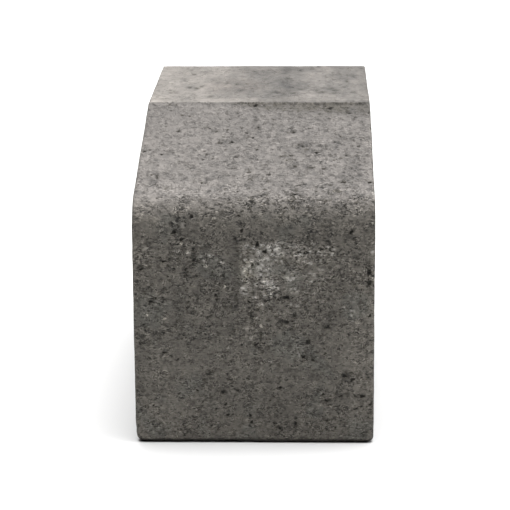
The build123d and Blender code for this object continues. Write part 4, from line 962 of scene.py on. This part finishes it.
    rough = g.add(0.84, g.mul(f3, 0.25), g.mul(scuffed, -0.06), g.mul(level, -0.06), g.mul(pores, 0.08))
    bsdf = g.new("ShaderNodeBsdfPrincipled", {"Base Color": colour, "Roughness": rough})
    height = g.add(g.mul(fine, g.add(g.mul(f1, 0.18), g.mul(d2, -0.15), g.mul(d5, -0.20))), g.mul(mid, g.add(g.mul(f2, 0.34), g.mul(g1, 0.10), g.mul(g3, 0.12), g.mul(dark_stroke, -0.16), g.mul(pale_stroke, 0.10))),
                   g.mul(f3, 0.44), g.mul(f4, 0.42), g.mul(d1, -0.32), g.mul(d3, -0.40), g.mul(d4, -0.36))
    height = g.mul(height, g.inv(g.mul(level, 0.5)))
    bump = g.new("ShaderNodeBump", {"Height": height, "Strength": 1.0, "Distance": 0.001})
    g.feed(bsdf.inputs["Normal"], bump.outputs[0])
    g.feed(g.new("ShaderNodeOutputMaterial").inputs["Surface"], bsdf.outputs[0])
    return mat


block.data.materials.append(concrete())


# ---- stage, light and camera ------------------------------------------------
def stage():
    me = bpy.data.meshes.new("floor")
    r, n = 7.0, 96
    ring = [(r * math.cos(2 * math.pi * k / n), r * math.sin(2 * math.pi * k / n), 0.0) for k in range(n)]
    me.from_pydata(ring, [], [tuple(range(n))])
    floor = bpy.data.objects.new("floor", me)
    bpy.context.scene.collection.objects.link(floor)
    mat = bpy.data.materials.new("pale_floor")
    mat.use_nodes = True
    b = mat.node_tree.nodes["Principled BSDF"]
    b.inputs["Base Color"].default_value = (0.825, 0.825, 0.825, 1)
    b.inputs["Roughness"].default_value = 0.9
    b.inputs["Specular IOR Level"].default_value = 0.0
    me.materials.append(mat)


def soft_light(name, zenith, azimuth, power, across):
    """A broad far-off softbox: degrees from straight up, degrees from the rear towards the right, degrees across."""
    data = bpy.data.lights.new(name, "SUN")
    data.energy = power
    data.angle = math.radians(across)
    o = bpy.data.objects.new(name, data)
    z, a = math.radians(zenith), math.radians(azimuth)
    o.rotation_mode = "QUATERNION"
    o.rotation_quaternion = Vector((math.sin(z) * math.sin(a), math.sin(z) * math.cos(a), math.cos(z))).to_track_quat("Z", "Y")
    bpy.context.scene.collection.objects.link(o)


stage()
for name, zenith, azimuth, power, across in (("overhead", 0, 0, 4.10, 52), ("rear", 60, 0, 1.78, 52), ("right", 42, 90, 1.08, 52)):
    soft_light(name, zenith, azimuth, power, across)
world = bpy.data.worlds.new("studio")
bpy.context.scene.world = world
world.use_nodes = True
world.node_tree.nodes["Background"].inputs[0].default_value = (1, 1, 1, 1)
world.node_tree.nodes["Background"].inputs[1].default_value = 1.0
# a white studio wall all round: it is only seen, and the soft lights do the lighting
world.cycles_visibility.diffuse = world.cycles_visibility.glossy = world.cycles_visibility.transmission = world.cycles_visibility.scatter = False
bpy.context.scene.view_settings.view_transform = "Standard"


def photo_camera():
    """At the photograph's viewpoint: a long lens, 14.5 degrees down, a touch from the right."""
    pitch, yaw, roll = 0.25264, -0.02827, -0.0057
    fwd = Vector((math.sin(yaw) * math.cos(pitch), math.cos(yaw) * math.cos(pitch), -math.sin(pitch)))
    right = Vector((math.cos(yaw), -math.sin(yaw), 0.0))
    up = right.cross(fwd)
    r = math.cos(roll) * right + math.sin(roll) * up
    u = -math.sin(roll) * right + math.cos(roll) * up
    data = bpy.data.cameras.new("camera")
    data.sensor_fit = "HORIZONTAL"
    data.sensor_width = 36.0
    data.lens = 2147.0 / 510.0 * 36.0
    data.clip_start, data.clip_end = 0.05, 40.0
    cam = bpy.data.objects.new("camera", data)
    m = Matrix((r, u, -fwd)).transposed().to_4x4()
    m.translation = Vector((0.02479296, -0.95408874, 0.30225172))
    cam.matrix_world = m
    bpy.context.scene.collection.objects.link(cam)
    bpy.context.scene.camera = cam


photo_camera()
